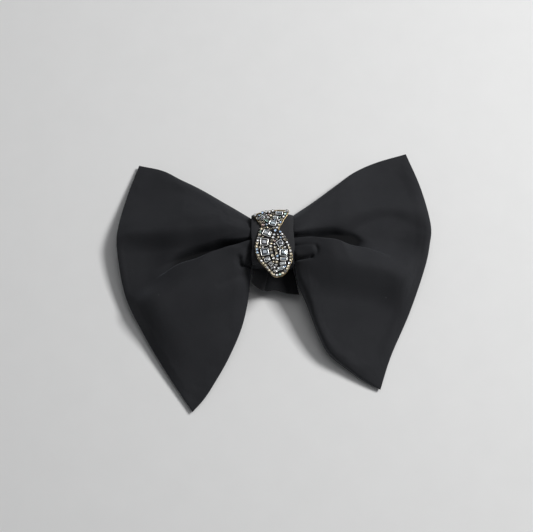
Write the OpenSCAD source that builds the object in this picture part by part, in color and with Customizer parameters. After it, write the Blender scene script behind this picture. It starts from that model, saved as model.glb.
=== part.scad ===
// Oversized drooping bow tie, pre-tied, lying on its back with its neck strap folded under it.
// +X to the wearer's left wing tip, +Y towards the top of the bow, +Z out of the front of the bow.
// All shapes are drawn about the middle of the knot and then moved by knot_at.

/* [Bow wings] */
// Thickness of the front and back fabric layers
layer_t = 1.0; // [0.8:0.1:1.2]
// How full the wings stand above their seam edges, 1 is normal
fullness = 1.0; // [0.8:0.05:1.05]
// Depth of the long pleat that runs out from the knot
pleat_depth = 2.4; // [0:0.2:3]
// Thickness of the stiffening sheet inside each wing
interlining_t = 0.5; // [0.3:0.1:0.6]

/* [Knot] */
// Width of the band that wraps the middle of the bow
knot_w = 21.4; // [20:0.2:21.6]
// Height of the knot, top to bottom of the bow
knot_h = 26; // [25:0.5:27]
// Top of the knot above the surface the bow lies on
knot_top = 26; // [25.5:0.5:26.5]
// Fabric wall of the knot band
knot_wall = 1.2; // [1:0.1:1.3]

/* [Brooch] */
// Thickness of the metal plate
plate_t = 1.0; // [0.8:0.1:1.2]
// Width of one small round stone in its cup
bead_d = 1.36; // [1.2:0.02:1.4]
// Height of the small round cups
cup_h = 0.8; // [0.6:0.1:1]

/* [Neck strap] */
// Width of the neck strap
strap_w = 18; // [16:0.5:18]
// Thickness of the neck strap
strap_t = 1.0; // [0.8:0.1:1]
// Distance of the outer fold from the middle of the knot
fold_out = 68; // [66:0.5:68.5]
// Distance of the inner fold from the middle of the knot
fold_in = 13.5; // [13:0.5:16]
// Distance of the hardware bar from the middle of the knot
bar_x = 58.6; // [57:0.2:59]
// Rest position of the slider, from the middle of the knot
slider_x = 30; // [28:0.5:32]

/* [Metal parts] */
// Radius of the bar of the hook and of the eye
bar_r = 0.42; // [0.38:0.01:0.43]
// Thickness of the hook and the eye
hook_t = 0.8; // [0.6:0.1:0.8]
// Width of the hook's tongue
tongue_w = 6; // [5:0.5:7]

/* [Hidden] */
$fn = 32;

fabric = [0.11, 0.11, 0.12];
lining = [0.55, 0.54, 0.5];
webbing = [0.08, 0.08, 0.09];
metal = [0.62, 0.63, 0.66];
gold = [0.6, 0.56, 0.46];
stone = [0.85, 0.87, 0.93];

// middle of the knot in the frame of the part
knot_at = [-0.7, 16.5, 0];

// heights of the three strap runs, bottom of each
run1_z = 6.2;
run2_z = 4.6;
run3_z = 2.2;
tail_z = 0.6;
tail_t = 0.8;
fold_out_z = (run1_z + run2_z + strap_t) / 2;
fold_out_r = (run1_z - run2_z) / 2;
fold_in_z = (run2_z + run3_z + strap_t) / 2;
fold_in_r = (run2_z - run3_z) / 2;
bar_z = (run3_z + strap_t + tail_z) / 2;
loop_ro = (run3_z + strap_t - tail_z) / 2;
loop_ri = loop_ro - tail_t;
knot_bottom = 4;
half_seam = 1.1;
seam_gap = 0.1;

// ---- wings -------------------------------------------------------------
// Each wing is a patch between three edges: the top edge, the outer edge and
// the edge towards the middle of the bow. A point is [out, up, seam height].
right_top = [[10.9, 14.5, 16], [21, 22, 14.5], [33.5, 32.5, 11.5], [43, 40.5, 8.5], [55, 46.8, 4.6], [71.5, 52, 2.4]];
right_out = [[71.5, 52, 2.4], [78.5, 32.5, 4.4], [82.2, 11.5, 9.6], [81.2, 0, 9.8], [78, -13, 9], [70, -35, 4.5], [60, -57, 2.8], [54.2, -74, 2.2]];
right_in = [[10.9, -10.5, 13], [12.5, -20, 11.5], [17, -31, 10], [22, -44.5, 8], [28, -56, 5.5], [38, -64, 3.5], [46, -69.5, 2.5], [54.2, -74, 2.2]];
left_top = [[10.9, 12.5, 16], [26.4, 23, 13.5], [38, 31, 10.5], [48, 37, 8], [58, 42.6, 4.6], [71, 46, 2.4]];
left_out = [[71, 46, 2.4], [76.5, 29, 4.8], [80.4, 10, 9.6], [80.4, -3, 9.8], [76, -25.5, 6.5], [67, -44, 3.8], [55, -64, 2.8], [40.8, -85, 2.2]];
left_in = [[10.9, -10.5, 13], [11.6, -20, 11.5], [13.2, -32, 9.5], [16.5, -44.5, 8], [23, -59, 6], [30, -71, 4], [35, -78.5, 2.8], [40.8, -85, 2.2]];
right_wing = [right_top, right_out, right_in];
left_wing = [left_top, left_out, left_in];

// rise of the front above its seam edge, from the knot outwards, and of the back below it
front_rise = [9, 11.5, 12, 10.5, 8.5, 5.5, 0];
back_rise = [3, 5.5, 7.6, 8, 8, 6.5, 0];

function at(P, i) = i < 0 ? 2 * P[0] - P[1] : i >= len(P) ? 2 * P[len(P) - 1] - P[len(P) - 2] : P[i];
// smooth curve through the points of P, t from 0 to 1
function cr(P, t) = let (n = len(P) - 1, s = t * n, i = min(floor(s), n - 1), f = s - i,
    a = at(P, i - 1), b = at(P, i), c = at(P, i + 1), d = at(P, i + 2))
    0.5 * (2 * b + (c - a) * f + (2 * a - 5 * b + 4 * c - d) * f * f + (3 * b - 3 * c + d - a) * f * f * f);
function patch(W, u, v) = let (T = cr(W[0], u), B = cr(W[2], u), O = cr(W[1], v), a = W[0][0], d = W[2][0],
    b = W[1][0], c = W[1][len(W[1]) - 1])
    (1 - v) * T + v * B + (1 - u) * ((1 - v) * a + v * d) + u * O
    - ((1 - u) * (1 - v) * a + u * (1 - v) * b + (1 - u) * v * d + u * v * c);
function dome(v) = pow(max(0, sin(180 * v)), 0.75);
function groove(u, v) = pleat_depth * max(0, 1 - u / 0.8) * exp(-pow((v - 0.49 + 0.02 * u) / 0.06, 2));
function front_top(p, u, v) = p.z + half_seam + fullness * cr(front_rise, u) * dome(v) - groove(u, v);
function front_low(p, u, v) = max(p.z + seam_gap, front_top(p, u, v) - layer_t * (1 + 1.2 * (1 - dome(v))));
// height kept free under the bow for the folded strap, falling away above and below it
function tunnel(y) = max(0, min(8, 8 * (20 - abs(y)) / 8.2));
function back_dome(v) = pow(max(0, sin(180 * v)), 0.5);
function back_low(p, u, v) = min(p.z - 0.5, max(p.z - half_seam - fullness * cr(back_rise, u) * back_dome(v), tunnel(p.y)));
function back_top(p, u, v) = min(p.z - seam_gap, back_low(p, u, v) + layer_t * (1 + 0.8 * (1 - dome(v))));
function core_top(p, u, v) = front_low(p, u, v) - 0.15;

nu = 16;
nv = 20;
function grid(i0, i1, j0, j1, W, kind) = [for (i = [i0:i1]) for (j = [j0:j1])
    let (u = i / nu, v = j / nv, p = patch(W, u, v))
    [p.x, p.y, kind == 0 ? front_top(p, u, v) : kind == 1 ? front_low(p, u, v) : kind == 2 ? back_top(p, u, v)
        : kind == 3 ? back_low(p, u, v) : kind == 4 ? core_top(p, u, v) : core_top(p, u, v) - interlining_t]];

// closed sheet between an upper and a lower grid of m by n cells
module sheet(up, low, m, n) {
    k = (m + 1) * (n + 1);
    function id(i, j) = i * (n + 1) + j;
    polyhedron(points = concat(up, low), faces = concat(
        [for (i = [0:m - 1]) for (j = [0:n - 1]) [id(i, j), id(i + 1, j), id(i + 1, j + 1)]],
        [for (i = [0:m - 1]) for (j = [0:n - 1]) [id(i, j), id(i + 1, j + 1), id(i, j + 1)]],
        [for (i = [0:m - 1]) for (j = [0:n - 1]) [k + id(i + 1, j + 1), k + id(i + 1, j), k + id(i, j)]],
        [for (i = [0:m - 1]) for (j = [0:n - 1]) [k + id(i, j + 1), k + id(i + 1, j + 1), k + id(i, j)]],
        [for (i = [0:m - 1]) for (s = [0, 1]) s == 0 ? [id(i, 0), k + id(i, 0), k + id(i + 1, 0)] : [id(i, 0), k + id(i + 1, 0), id(i + 1, 0)]],
        [for (i = [0:m - 1]) for (s = [0, 1]) s == 0 ? [id(i, n), id(i + 1, n), k + id(i + 1, n)] : [id(i, n), k + id(i + 1, n), k + id(i, n)]],
        [for (j = [0:n - 1]) for (s = [0, 1]) s == 0 ? [id(0, j), id(0, j + 1), k + id(0, j + 1)] : [id(0, j), k + id(0, j + 1), k + id(0, j)]],
        [for (j = [0:n - 1]) for (s = [0, 1]) s == 0 ? [id(m, j), k + id(m, j), k + id(m, j + 1)] : [id(m, j), k + id(m, j + 1), id(m, j + 1)]]));
}

module front_layer(W) { sheet(grid(0, nu, 0, nv, W, 0), grid(0, nu, 0, nv, W, 1), nu, nv); }
module back_layer(W) { sheet(grid(0, nu, 0, nv, W, 2), grid(0, nu, 0, nv, W, 3), nu, nv); }
module inner_layer(W) { sheet(grid(2, nu - 2, 3, nv - 3, W, 4), grid(2, nu - 2, 3, nv - 3, W, 5), nu - 4, nv - 6); }

module wing_right_front() { color(fabric) translate(knot_at) front_layer(right_wing); }
module wing_right_back() { color(fabric) translate(knot_at) back_layer(right_wing); }
module wing_right_interlining() { color(lining) translate(knot_at) inner_layer(right_wing); }
module wing_left_front() { color(fabric) translate(knot_at) mirror([1, 0, 0]) front_layer(left_wing); }
module wing_left_back() { color(fabric) translate(knot_at) mirror([1, 0, 0]) back_layer(left_wing); }
module wing_left_interlining() { color(lining) translate(knot_at) mirror([1, 0, 0]) inner_layer(left_wing); }

// ---- knot --------------------------------------------------------------
module rounded(w, h, r) {
    translate([-w / 2 + r, -h / 2]) square([w - 2 * r, h]);
    translate([-w / 2, -h / 2 + r]) square([w, h - 2 * r]);
    for (x = [-1, 1]) for (y = [-1, 1]) translate([x * (w / 2 - r), y * (h / 2 - r)]) circle(r = r);
}
// draws a profile given as [up the bow, height] and extrudes it w along X, centred
module along_x(w) { rotate([90, 0, 90]) linear_extrude(height = w, center = true) children(); }

knot_mid = (knot_top + knot_bottom) / 2;
knot_dz = knot_top - knot_bottom;

module knot_band() {
    color(fabric) translate(knot_at + [0, 0, knot_mid]) along_x(knot_w) difference() {
        rounded(knot_h, knot_dz, 5);
        rounded(knot_h - 2 * knot_wall, knot_dz - 2 * knot_wall, 5 - knot_wall);
    }
}
module knot_interlining() {
    color(lining) translate(knot_at + [-knot_w / 2 + 1.5, -7.5, knot_bottom + knot_wall + 0.1]) cube([knot_w - 3, 15, 0.5]);
}
// whip stitches that close the band at the back
module knot_stitches() {
    color(webbing) for (i = [-4:4]) translate(knot_at + [i * 2.1, 0, knot_bottom + 0.35])
        rotate([90, 0, 12]) cylinder(r = 0.25, h = 3.4, center = true, $fn = 16);
}
// gathered middle of the bow, held inside the knot
module centre_stay() {
    color(fabric) translate(knot_at + [0, 0, 16.1]) along_x(21.5) rounded(20.4, 16, 4);
}
// three turns of thread that gather the middle
module waist_binding() {
    color(webbing) for (x = [-1.2, 0, 1.2]) translate(knot_at + [x, 0, 16.1]) along_x(0.8) difference() {
        rounded(21.4, 17, 4.5);
        rounded(20.44, 16.04, 4.02);
    }
}
// fabric of the back layer that hangs out below the knot
drape = [[-10.4, -13.4], [10.5, -13.4], [11.4, -17], [12.2, -20.5], [13.6, -25.4], [7, -24.6], [0.6, -22.9], [-5.4, -23.9], [-8, -22.2], [-10.8, -20]];
module centre_drape() {
    color(fabric) translate(knot_at + [0, 0, 9.4]) linear_extrude(height = 2.2) polygon(drape);
}

// ---- brooch ------------------------------------------------------------
// outline: a forked tail at the top, a waist and a rounded body below
brooch_outline = [[-10, 11.1], [-7.8, 12.1], [-4.9, 12.9], [-2.7, 13.4], [2, 13.9], [5, 13.9], [8.2, 13.7], [8.2, 12.2], [7.2, 10],
    [6, 8.3], [4.9, 6.2], [3.8, 4.4], [3.5, 3.2], [5.1, 1.5], [6.3, -0.4], [7.5, -2.8], [8.7, -5.4], [9.6, -8], [10.1, -10.8], [9.8, -13.5],
    [8.9, -15.7], [7.9, -17.7], [6.8, -19.4], [5.4, -20.7], [3.8, -21.3], [2, -21.6], [0.3, -21.3], [-1, -20.3], [-2.3, -18.8], [-3.9, -17],
    [-5.5, -15.4], [-6.8, -13.8], [-7.9, -11.8], [-8.8, -9], [-9.2, -6.3], [-8.8, -3.2], [-8, -1], [-7.3, 1.2], [-6.7, 3.4],
    [-5.9, 4.9], [-7, 6.4], [-8.4, 8.4]];
plate_z = knot_top + 0.05;
cup_z = plate_z + plate_t;
stone_z = cup_z + cup_h;

// rows of round stones: the path of each row and how many stones stand on it
rows = [
    [[[-9, 10.7], [-7.6, 9], [-6.3, 7], [-5, 5.4]], 4],
    [[[-5.2, 12], [-3.2, 12.5], [-1.4, 12.3], [0.1, 12.9]], 4],
    [[[7.1, 12.8], [6.1, 10.7], [4.9, 9], [4.1, 7.2], [3.1, 5.4], [2.1, 3.9], [1.2, 2.6]], 8],
    [[[-0.9, 10.4], [-2.3, 9.5], [-2.9, 7.7]], 3],
    [[[-5.7, 3.3], [-6.5, 1], [-7, -1], [-7.8, -3.2], [-8.2, -6], [-7.8, -8.9], [-6.9, -11.6], [-5.6, -13.7], [-3.8, -15.5], [-2.4, -17.3], [-1.2, -19], [0.4, -20.3]], 18],
    [[[3.7, 1.8], [4.9, 0.1], [6.2, -2], [7.2, -4], [8.2, -6.4], [8.9, -8.8], [9.1, -11.2], [8.8, -13.4], [8, -15.4], [7, -17.3], [5.8, -19.1], [3.9, -20.2], [1.9, -20.6]], 18],
    [[[0.6, 0.3], [0.1, -1.4], [-0.8, -3.3], [-1.2, -5.6], [-1, -8.2], [-0.4, -10.2], [0.3, -12]], 9],
    [[[1, -6.4], [1.6, -8.6], [2.1, -10.8], [2.1, -13], [1.7, -15], [0.7, -16.7]], 8]];
// single larger square and oblong stones: [x, y, width, height, turn]
big_stones = [[0, 6.4, 3.5, 2.8, -15], [-3, 1, 4.2, 2.9, -22], [-5, 9.4, 2.3, 2, 38], [3.2, 11.7, 3.6, 1.9, -8], [1.4, 9.4, 2.6, 1.7, -12],
    [-4.3, -3.5, 3.9, 3.7, -3], [-4.1, -8.7, 4, 3.8, 8], [-2.9, -12.7, 2.9, 2.2, 28], [-1.1, -15, 2, 2, 40],
    [3.6, -4.2, 3.2, 3.2, 33], [5.3, -9, 3.7, 3.4, -2], [5.4, -12.4, 3.4, 2, 6], [4.9, -14.8, 3, 1.5, 12], [3.9, -17.2, 3.2, 1.7, 16], [1.1, -18.6, 1.8, 1.2, -10]];

function dist(a, b) = norm(b - a);
function total(P, i = 0) = i >= len(P) - 1 ? 0 : dist(P[i], P[i + 1]) + total(P, i + 1);
// point at length s along the broken line P
function walk(P, s, i = 0) = i >= len(P) - 1 ? P[len(P) - 1] : let (d = dist(P[i], P[i + 1]))
    s <= d ? P[i] + (P[i + 1] - P[i]) * s / d : walk(P, s - d, i + 1);
module on_rows() {
    for (r = rows) let (len_r = total(r[0])) for (k = [0:r[1] - 1])
        translate(concat(walk(r[0], len_r * k / (r[1] - 1)), [0])) children();
}

module brooch_base() { color(gold) translate(knot_at + [0, 0, plate_z]) linear_extrude(height = plate_t) polygon(brooch_outline); }
module brooch_cups() {
    color(metal) translate(knot_at + [0, 0, cup_z]) on_rows() cylinder(d = bead_d, h = cup_h, $fn = 16);
}
module brooch_round_stones() {
    color(stone) translate(knot_at + [0, 0, stone_z]) on_rows() {
        cylinder(d = bead_d * 0.84, h = 0.2, $fn = 16);
        translate([0, 0, 0.2]) cylinder(d1 = bead_d * 0.84, d2 = bead_d * 0.5, h = 0.35, $fn = 16);
    }
}
module brooch_baguettes() {
    color(stone) translate(knot_at + [0, 0, cup_z]) for (b = big_stones) translate([b[0], b[1], 0]) rotate([0, 0, b[4]]) {
        translate([-b[2] / 2 + 0.2, -b[3] / 2 + 0.2, 0]) cube([b[2] - 0.4, b[3] - 0.4, 1.3]);
        translate([-b[2] / 2 + 0.4, -b[3] / 2 + 0.4, 1.3]) cube([b[2] - 0.8, b[3] - 0.8, 0.4]);
    }
}
// corner claws of the larger stones
module brooch_claws() {
    color(metal) translate(knot_at + [0, 0, cup_z]) for (b = big_stones) translate([b[0], b[1], 0]) rotate([0, 0, b[4]])
        for (x = [-1, 1]) for (y = [-1, 1]) translate([x * (b[2] / 2 - 0.03), y * (b[3] / 2 - 0.03), 0]) cylinder(r = 0.16, h = 1.6, $fn = 16);
}
// thread that sews the plate to the knot
module brooch_stitches() {
    color(webbing) for (p = [[-3.3, 5.8], [2.6, 6.6], [-6.7, -6.3], [6.1, -6.1], [2.7, -0.9]])
        translate(knot_at + [p[0], p[1], knot_top - 0.9]) cylinder(r = 0.2, h = plate_t + 1.1, $fn = 16);
}

// ---- neck strap --------------------------------------------------------
module run(x0, x1, z, t) { translate([x0, -strap_w / 2, z]) cube([x1 - x0, strap_w, t]); }
// half of a ring with its axis along Y, open towards -X
module half_ring(ri, ro, w) {
    intersection() {
        rotate([90, 0, 0]) difference() {
            cylinder(r = ro, h = w, center = true);
            cylinder(r = ri, h = w + 1, center = true);
        }
        translate([0, -w / 2 - 0.5, -ro - 1]) cube([ro + 1, w + 1, 2 * ro + 2]);
    }
}
// copies the right side's shape to side s: 1 right, -1 left
module side(s) { translate(knot_at) mirror([s < 0 ? 1 : 0, 0, 0]) children(); }

module strap_centre() { color(webbing) side(1) run(-fold_out, fold_out, run1_z, strap_t); }
module fold_outer(s) {
    color(webbing) side(s) translate([fold_out, 0, fold_out_z]) half_ring(fold_out_r - strap_t / 2, fold_out_r + strap_t / 2, strap_w);
}
module strap_mid(s) { color(webbing) side(s) run(fold_in, fold_out, run2_z, strap_t); }
module fold_inner(s) {
    color(webbing) side(s) translate([fold_in, 0, fold_in_z]) mirror([1, 0, 0])
        half_ring(fold_in_r - strap_t / 2, fold_in_r + strap_t / 2, strap_w);
}
// last run, which turns round the bar of the hook or the eye
module strap_end(s) {
    color(webbing) side(s) {
        run(fold_in, bar_x, run3_z + strap_t - tail_t, tail_t);
        run(fold_in, bar_x - 3, run3_z, strap_t);
        translate([bar_x, 0, bar_z]) half_ring(loop_ri, loop_ro, strap_w);
    }
}
module strap_right_fold_outer() { fold_outer(1); }
module strap_right_mid() { strap_mid(1); }
module strap_right_fold_inner() { fold_inner(1); }
module strap_right_end() { strap_end(1); }
module strap_left_fold_outer() { fold_outer(-1); }
module strap_left_mid() { strap_mid(-1); }
module strap_left_fold_inner() { fold_inner(-1); }
module strap_left_end() { strap_end(-1); }

// the adjustable end comes back from the hook to the slider
slider_ro = 0.9;
slider_z = 1;
slider_bar_r = 0.35;
module strap_right_tail() { color(webbing) side(1) run(slider_x + slider_ro, bar_x, tail_z, tail_t); }
// sewn end of the tail, round the slider's middle bar
module slider_loop() {
    color(webbing) side(1) translate([slider_x, 0, slider_z]) rotate([90, 0, 0]) difference() {
        cylinder(r = slider_ro, h = strap_w, center = true);
        cylinder(r = slider_bar_r + 0.05, h = strap_w + 1, center = true);
    }
}
rail_w = 1.1;
rail_y = strap_w / 2 + 0.3;
module slider() {
    color(metal) side(1) translate([slider_x, 0, 0]) {
        for (y = [-1, 1]) {
            translate([-5, y * (rail_y + rail_w / 2) - rail_w / 2, 0.35]) cube([10, rail_w, 3.85]);
            for (x = [-5, 5]) translate([x, y * (rail_y + rail_w / 2), 0.95]) rotate([90, 0, 0]) cylinder(r = 0.6, h = rail_w, center = true);
            for (x = [-5, 5]) translate([x, y * (rail_y + rail_w / 2), 3.6]) rotate([90, 0, 0]) cylinder(r = 0.6, h = rail_w, center = true);
        }
        for (x = [-4.9, 4.9]) translate([x, 0, 3.8]) rotate([90, 0, 0]) cylinder(r = 0.4, h = 2 * rail_y + 1, center = true);
        translate([0, 0, slider_z]) rotate([90, 0, 0]) cylinder(r = slider_bar_r, h = 2 * rail_y + 1, center = true);
    }
}

// bar, two arms and cross plate shared by the hook and the eye
arm_w = 1;
plate_x = bar_x + loop_ro + 0.45;
hook_z = bar_z - hook_t / 2;
module bar_frame() {
    translate([bar_x, 0, bar_z]) rotate([90, 0, 0]) cylinder(r = bar_r, h = 2 * rail_y + 2 * arm_w, center = true);
    for (y = [-1, 1]) {
        translate([bar_x, y * (rail_y + arm_w / 2) - arm_w / 2, hook_z]) cube([plate_x - bar_x + 2, arm_w, hook_t]);
        translate([bar_x, y * (rail_y + arm_w / 2), bar_z]) rotate([90, 0, 0]) cylinder(r = 0.75, h = arm_w, center = true);
    }
    translate([plate_x, -rail_y, hook_z]) cube([2, 2 * rail_y, hook_t]);
}
curl_ri = 0.6;
module hook() {
    color(metal) side(1) {
        bar_frame();
        translate([plate_x + 1.5, -tongue_w / 2, hook_z]) cube([72 - plate_x - 1.5, tongue_w, hook_t]);
        translate([72, 0, hook_z + hook_t + curl_ri]) half_ring(curl_ri, curl_ri + hook_t, tongue_w);
        translate([68, -tongue_w / 2, hook_z + hook_t + 2 * curl_ri]) cube([4, tongue_w, hook_t]);
        translate([68, 0, hook_z + 1.5 * hook_t + 2 * curl_ri]) rotate([90, 0, 0]) cylinder(r = hook_t / 2, h = tongue_w, center = true);
    }
}
eye_y = 4.6;
module eye() {
    color(metal) side(-1) {
        bar_frame();
        for (y = [-1, 1]) {
            translate([plate_x + 1, y * (eye_y + 0.4), bar_z]) rotate([0, 90, 0]) cylinder(r = hook_t / 2, h = 72 - plate_x - 1);
            translate([72, y * (eye_y + 0.4), bar_z]) sphere(r = hook_t / 2);
        }
        translate([72, 0, bar_z]) rotate([90, 0, 0]) cylinder(r = hook_t / 2, h = 2 * eye_y + 0.8, center = true);
    }
}
// short sewn return of the fixed end, and the stitches that hold it
module strap_left_return() { color(webbing) side(-1) run(bar_x - 14, bar_x, tail_z, tail_t); }
module strap_left_tack() {
    color(webbing) side(-1) for (x = [-12, -5]) for (y = [-7:2:7])
        translate([bar_x + x, y, tail_z + tail_t]) cylinder(r = 0.3, h = run3_z - tail_z - tail_t, $fn = 16);
}

wing_left_front();
wing_left_back();
wing_left_interlining();
wing_right_front();
wing_right_back();
wing_right_interlining();
centre_stay();
waist_binding();
centre_drape();
knot_band();
knot_interlining();
knot_stitches();
brooch_base();
brooch_cups();
brooch_round_stones();
brooch_baguettes();
brooch_claws();
brooch_stitches();
strap_centre();
strap_right_fold_outer();
strap_right_mid();
strap_right_fold_inner();
strap_right_end();
strap_right_tail();
slider();
slider_loop();
hook();
strap_left_fold_outer();
strap_left_mid();
strap_left_fold_inner();
strap_left_end();
strap_left_return();
strap_left_tack();
eye();
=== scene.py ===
import math

import bpy
import numpy as np
from mathutils import Matrix, Vector


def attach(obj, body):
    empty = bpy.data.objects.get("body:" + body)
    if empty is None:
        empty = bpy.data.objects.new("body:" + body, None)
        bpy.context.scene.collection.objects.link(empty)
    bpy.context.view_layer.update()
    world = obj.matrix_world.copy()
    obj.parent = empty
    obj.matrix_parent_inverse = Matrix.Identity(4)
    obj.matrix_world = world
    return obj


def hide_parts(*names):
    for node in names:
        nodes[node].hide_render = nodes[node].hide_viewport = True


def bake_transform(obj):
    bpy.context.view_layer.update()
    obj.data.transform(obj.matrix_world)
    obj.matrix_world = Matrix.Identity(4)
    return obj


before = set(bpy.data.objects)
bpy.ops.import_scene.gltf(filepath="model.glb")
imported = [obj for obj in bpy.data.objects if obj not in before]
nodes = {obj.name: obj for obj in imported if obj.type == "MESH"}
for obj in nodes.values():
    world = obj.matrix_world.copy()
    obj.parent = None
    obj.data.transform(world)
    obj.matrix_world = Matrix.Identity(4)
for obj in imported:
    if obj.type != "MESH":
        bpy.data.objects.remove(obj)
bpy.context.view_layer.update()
scene = bpy.context.scene

MM = 0.001
K = np.array([-0.7, 16.5, 0.0])  # middle of the knot, mm
PI = math.pi

# ------------------------------------------------------------------ camera
cam_data = bpy.data.cameras.new("camera")
cam_data.lens = 80.5
cam_data.sensor_width = 36.0
cam_data.sensor_fit = "HORIZONTAL"
cam_data.clip_start = 0.01
cam_data.clip_end = 20.0
cam = bpy.data.objects.new("camera", cam_data)
scene.collection.objects.link(cam)
th, yaw, roll = math.radians(74.408), math.radians(0.1447), math.radians(-0.3897)
rz = Matrix.Rotation(yaw, 3, "Z")
right0 = rz @ Vector((1, 0, 0))
up0 = rz @ Vector((0, math.sin(th), math.cos(th)))
fwd = rz @ Vector((0, math.cos(th), -math.sin(th)))
right = math.cos(roll) * right0 + math.sin(roll) * up0
up = -math.sin(roll) * right0 + math.cos(roll) * up0
m = Matrix((right, up, -fwd)).transposed().to_4x4()
m.translation = Vector((-3.55, -158.86, 600.16)) * MM
cam.matrix_world = m
scene.camera = cam
scene.view_settings.view_transform = "Standard"
scene.view_settings.look = "None"
scene.view_settings.exposure = 0.0
scene.view_settings.gamma = 1.0


# ------------------------------------------------------------- small tools
def smooth(x, a, b):
    t = np.clip((x - a) / (b - a), 0, 1)
    return t * t * (3 - 2 * t)


def cr(P, t):
    """Smooth curve through the points of P, t from 0 to 1, for arrays of t."""
    P = np.asarray(P, float)
    n = len(P) - 1
    shape = np.shape(t)
    s = np.ravel(t) * n
    i = np.clip(np.floor(s).astype(int), 0, n - 1)
    f = (s - i)[:, None]
    if P.ndim == 1:
        P = P[:, None]
    p1, p2 = P[i], P[i + 1]
    p0 = np.where((i > 0)[:, None], P[np.maximum(i - 1, 0)], 2 * P[0] - P[1])
    p3 = np.where((i + 2 <= n)[:, None], P[np.minimum(i + 2, n)], 2 * P[n] - P[n - 1])
    r = 0.5 * (2 * p1 + (p2 - p0) * f + (2 * p0 - 5 * p1 + 4 * p2 - p3) * f**2 + (3 * p1 - 3 * p2 + p3 - p0) * f**3)
    return r.reshape(shape + (P.shape[1],)) if P.shape[1] > 1 else r.reshape(shape)


def table(x, xs, ys):
    """Smooth interpolation through given values at uneven places."""
    xs, ys = np.asarray(xs, float), np.asarray(ys, float)
    d = np.diff(ys) / np.diff(xs)
    g = np.zeros(len(xs))
    for k in range(1, len(xs) - 1):
        if d[k - 1] * d[k] > 0:
            w1, w2 = 2 * (xs[k + 1] - xs[k]) + (xs[k] - xs[k - 1]), (xs[k + 1] - xs[k]) + 2 * (xs[k] - xs[k - 1])
            g[k] = (w1 + w2) / (w1 / d[k - 1] + w2 / d[k])
    x = np.clip(x, xs[0], xs[-1])
    i = np.clip(np.searchsorted(xs, x, side="right") - 1, 0, len(xs) - 2)
    h = xs[i + 1] - xs[i]
    t = (x - xs[i]) / h
    return ((1 + 2 * t) * (1 - t) ** 2 * ys[i] + t * (1 - t) ** 2 * h * g[i]
            + t * t * (3 - 2 * t) * ys[i + 1] + t * t * (t - 1) * h * g[i + 1])


def noise(x, y, size, seed):
    """Soft lattice noise from -1 to 1, the same on each run."""
    rng = np.random.RandomState(seed)
    L = rng.rand(96, 96) * 2 - 1
    gx, gy = x / size + 40.3, y / size + 41.7
    ix, iy = np.floor(gx).astype(int), np.floor(gy).astype(int)
    fx, fy = gx - ix, gy - iy
    fx, fy = fx**3 * (fx * (fx * 6 - 15) + 10), fy**3 * (fy * (fy * 6 - 15) + 10)
    a, b = L[ix % 96, iy % 96], L[(ix + 1) % 96, iy % 96]
    c, d = L[ix % 96, (iy + 1) % 96], L[(ix + 1) % 96, (iy + 1) % 96]
    return (a * (1 - fx) + b * fx) * (1 - fy) + (c * (1 - fx) + d * fx) * fy


def smin(a, b, k):
    h = np.clip(0.5 + 0.5 * (b - a) / k, 0, 1)
    return b * (1 - h) + a * h - k * h * (1 - h)


def make(name, V, F, mat=None, uv=None, flat=False, attr=None):
    """A mesh object from points in mm. uv is one pair per point, in mm."""
    me = bpy.data.meshes.new(name)
    me.from_pydata((np.asarray(V, float) * MM).tolist(), [], [list(map(int, f)) for f in F])
    me.polygons.foreach_set("use_smooth", [not flat] * len(me.polygons))
    if uv is not None:
        lay = me.uv_layers.new(name="UVMap")
        idx = np.zeros(len(me.loops), int)
        me.loops.foreach_get("vertex_index", idx)
        lay.data.foreach_set("uv", np.asarray(uv, np.float32)[idx].ravel())
    if attr is not None:
        a = me.color_attributes.new(name="Tint", type="FLOAT_COLOR", domain="POINT")
        c = np.ones((len(V), 4), np.float32)
        c[:, :3] = attr
        a.data.foreach_set("color", c.ravel())
    me.validate()
    me.update()
    o = bpy.data.objects.new(name, me)
    scene.collection.objects.link(o)
    if mat is not None:
        me.materials.append(mat)
    return o


def grid_faces(m, n, base=0, wrap_m=False, wrap_n=False, flip=False):
    """Faces of an m by n grid of points, i the slow index."""
    F = []
    for i in range(m if wrap_m else m - 1):
        for j in range(n if wrap_n else n - 1):
            i2, j2 = (i + 1) % m, (j + 1) % n
            f = [base + i * n + j, base + i2 * n + j, base + i2 * n + j2, base + i * n + j2]
            F.append(f[::-1] if flip else f)
    return F


# --------------------------------------------------------------- materials
def new_mat(name):
    mt = bpy.data.materials.new(name)
    mt.use_nodes = True
    nt = mt.node_tree
    b = nt.nodes["Principled BSDF"]
    return mt, nt, b


def math_node(nt, op, a, b=None, clamp=False):
    n = nt.nodes.new("ShaderNodeMath")
    n.operation = op
    n.use_clamp = clamp
    for k, v in enumerate((a, b)):
        if v is None:
            continue
        if isinstance(v, (int, float)):
            n.inputs[k].default_value = v
        else:
            nt.links.new(v, n.inputs[k])
    return n.outputs[0]


def mix_col(nt, fac, a, b):
    n = nt.nodes.new("ShaderNodeMix")
    n.data_type = "RGBA"
    for s, v in ((n.inputs["Factor"], fac), (n.inputs[6], a), (n.inputs[7], b)):
        if isinstance(v, (int, float)):
            s.default_value = v
        elif isinstance(v, (tuple, list)):
            s.default_value = (*v, 1)
        else:
            nt.links.new(v, s)
    return n.outputs[2]


def ramp(nt, fac, lo, hi):
    """0 below lo, 1 above hi."""
    n = nt.nodes.new("ShaderNodeMapRange")
    nt.links.new(fac, n.inputs["Value"])
    n.inputs["From Min"].default_value = lo
    n.inputs["From Max"].default_value = hi
    return n.outputs["Result"]


def tex_noise(nt, vec, scale, detail=4.0, rough=0.55):
    n = nt.nodes.new("ShaderNodeTexNoise")
    nt.links.new(vec, n.inputs["Vector"])
    n.inputs["Scale"].default_value = scale
    n.inputs["Detail"].default_value = detail
    n.inputs["Roughness"].default_value = rough
    return n.outputs["Fac"]


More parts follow.
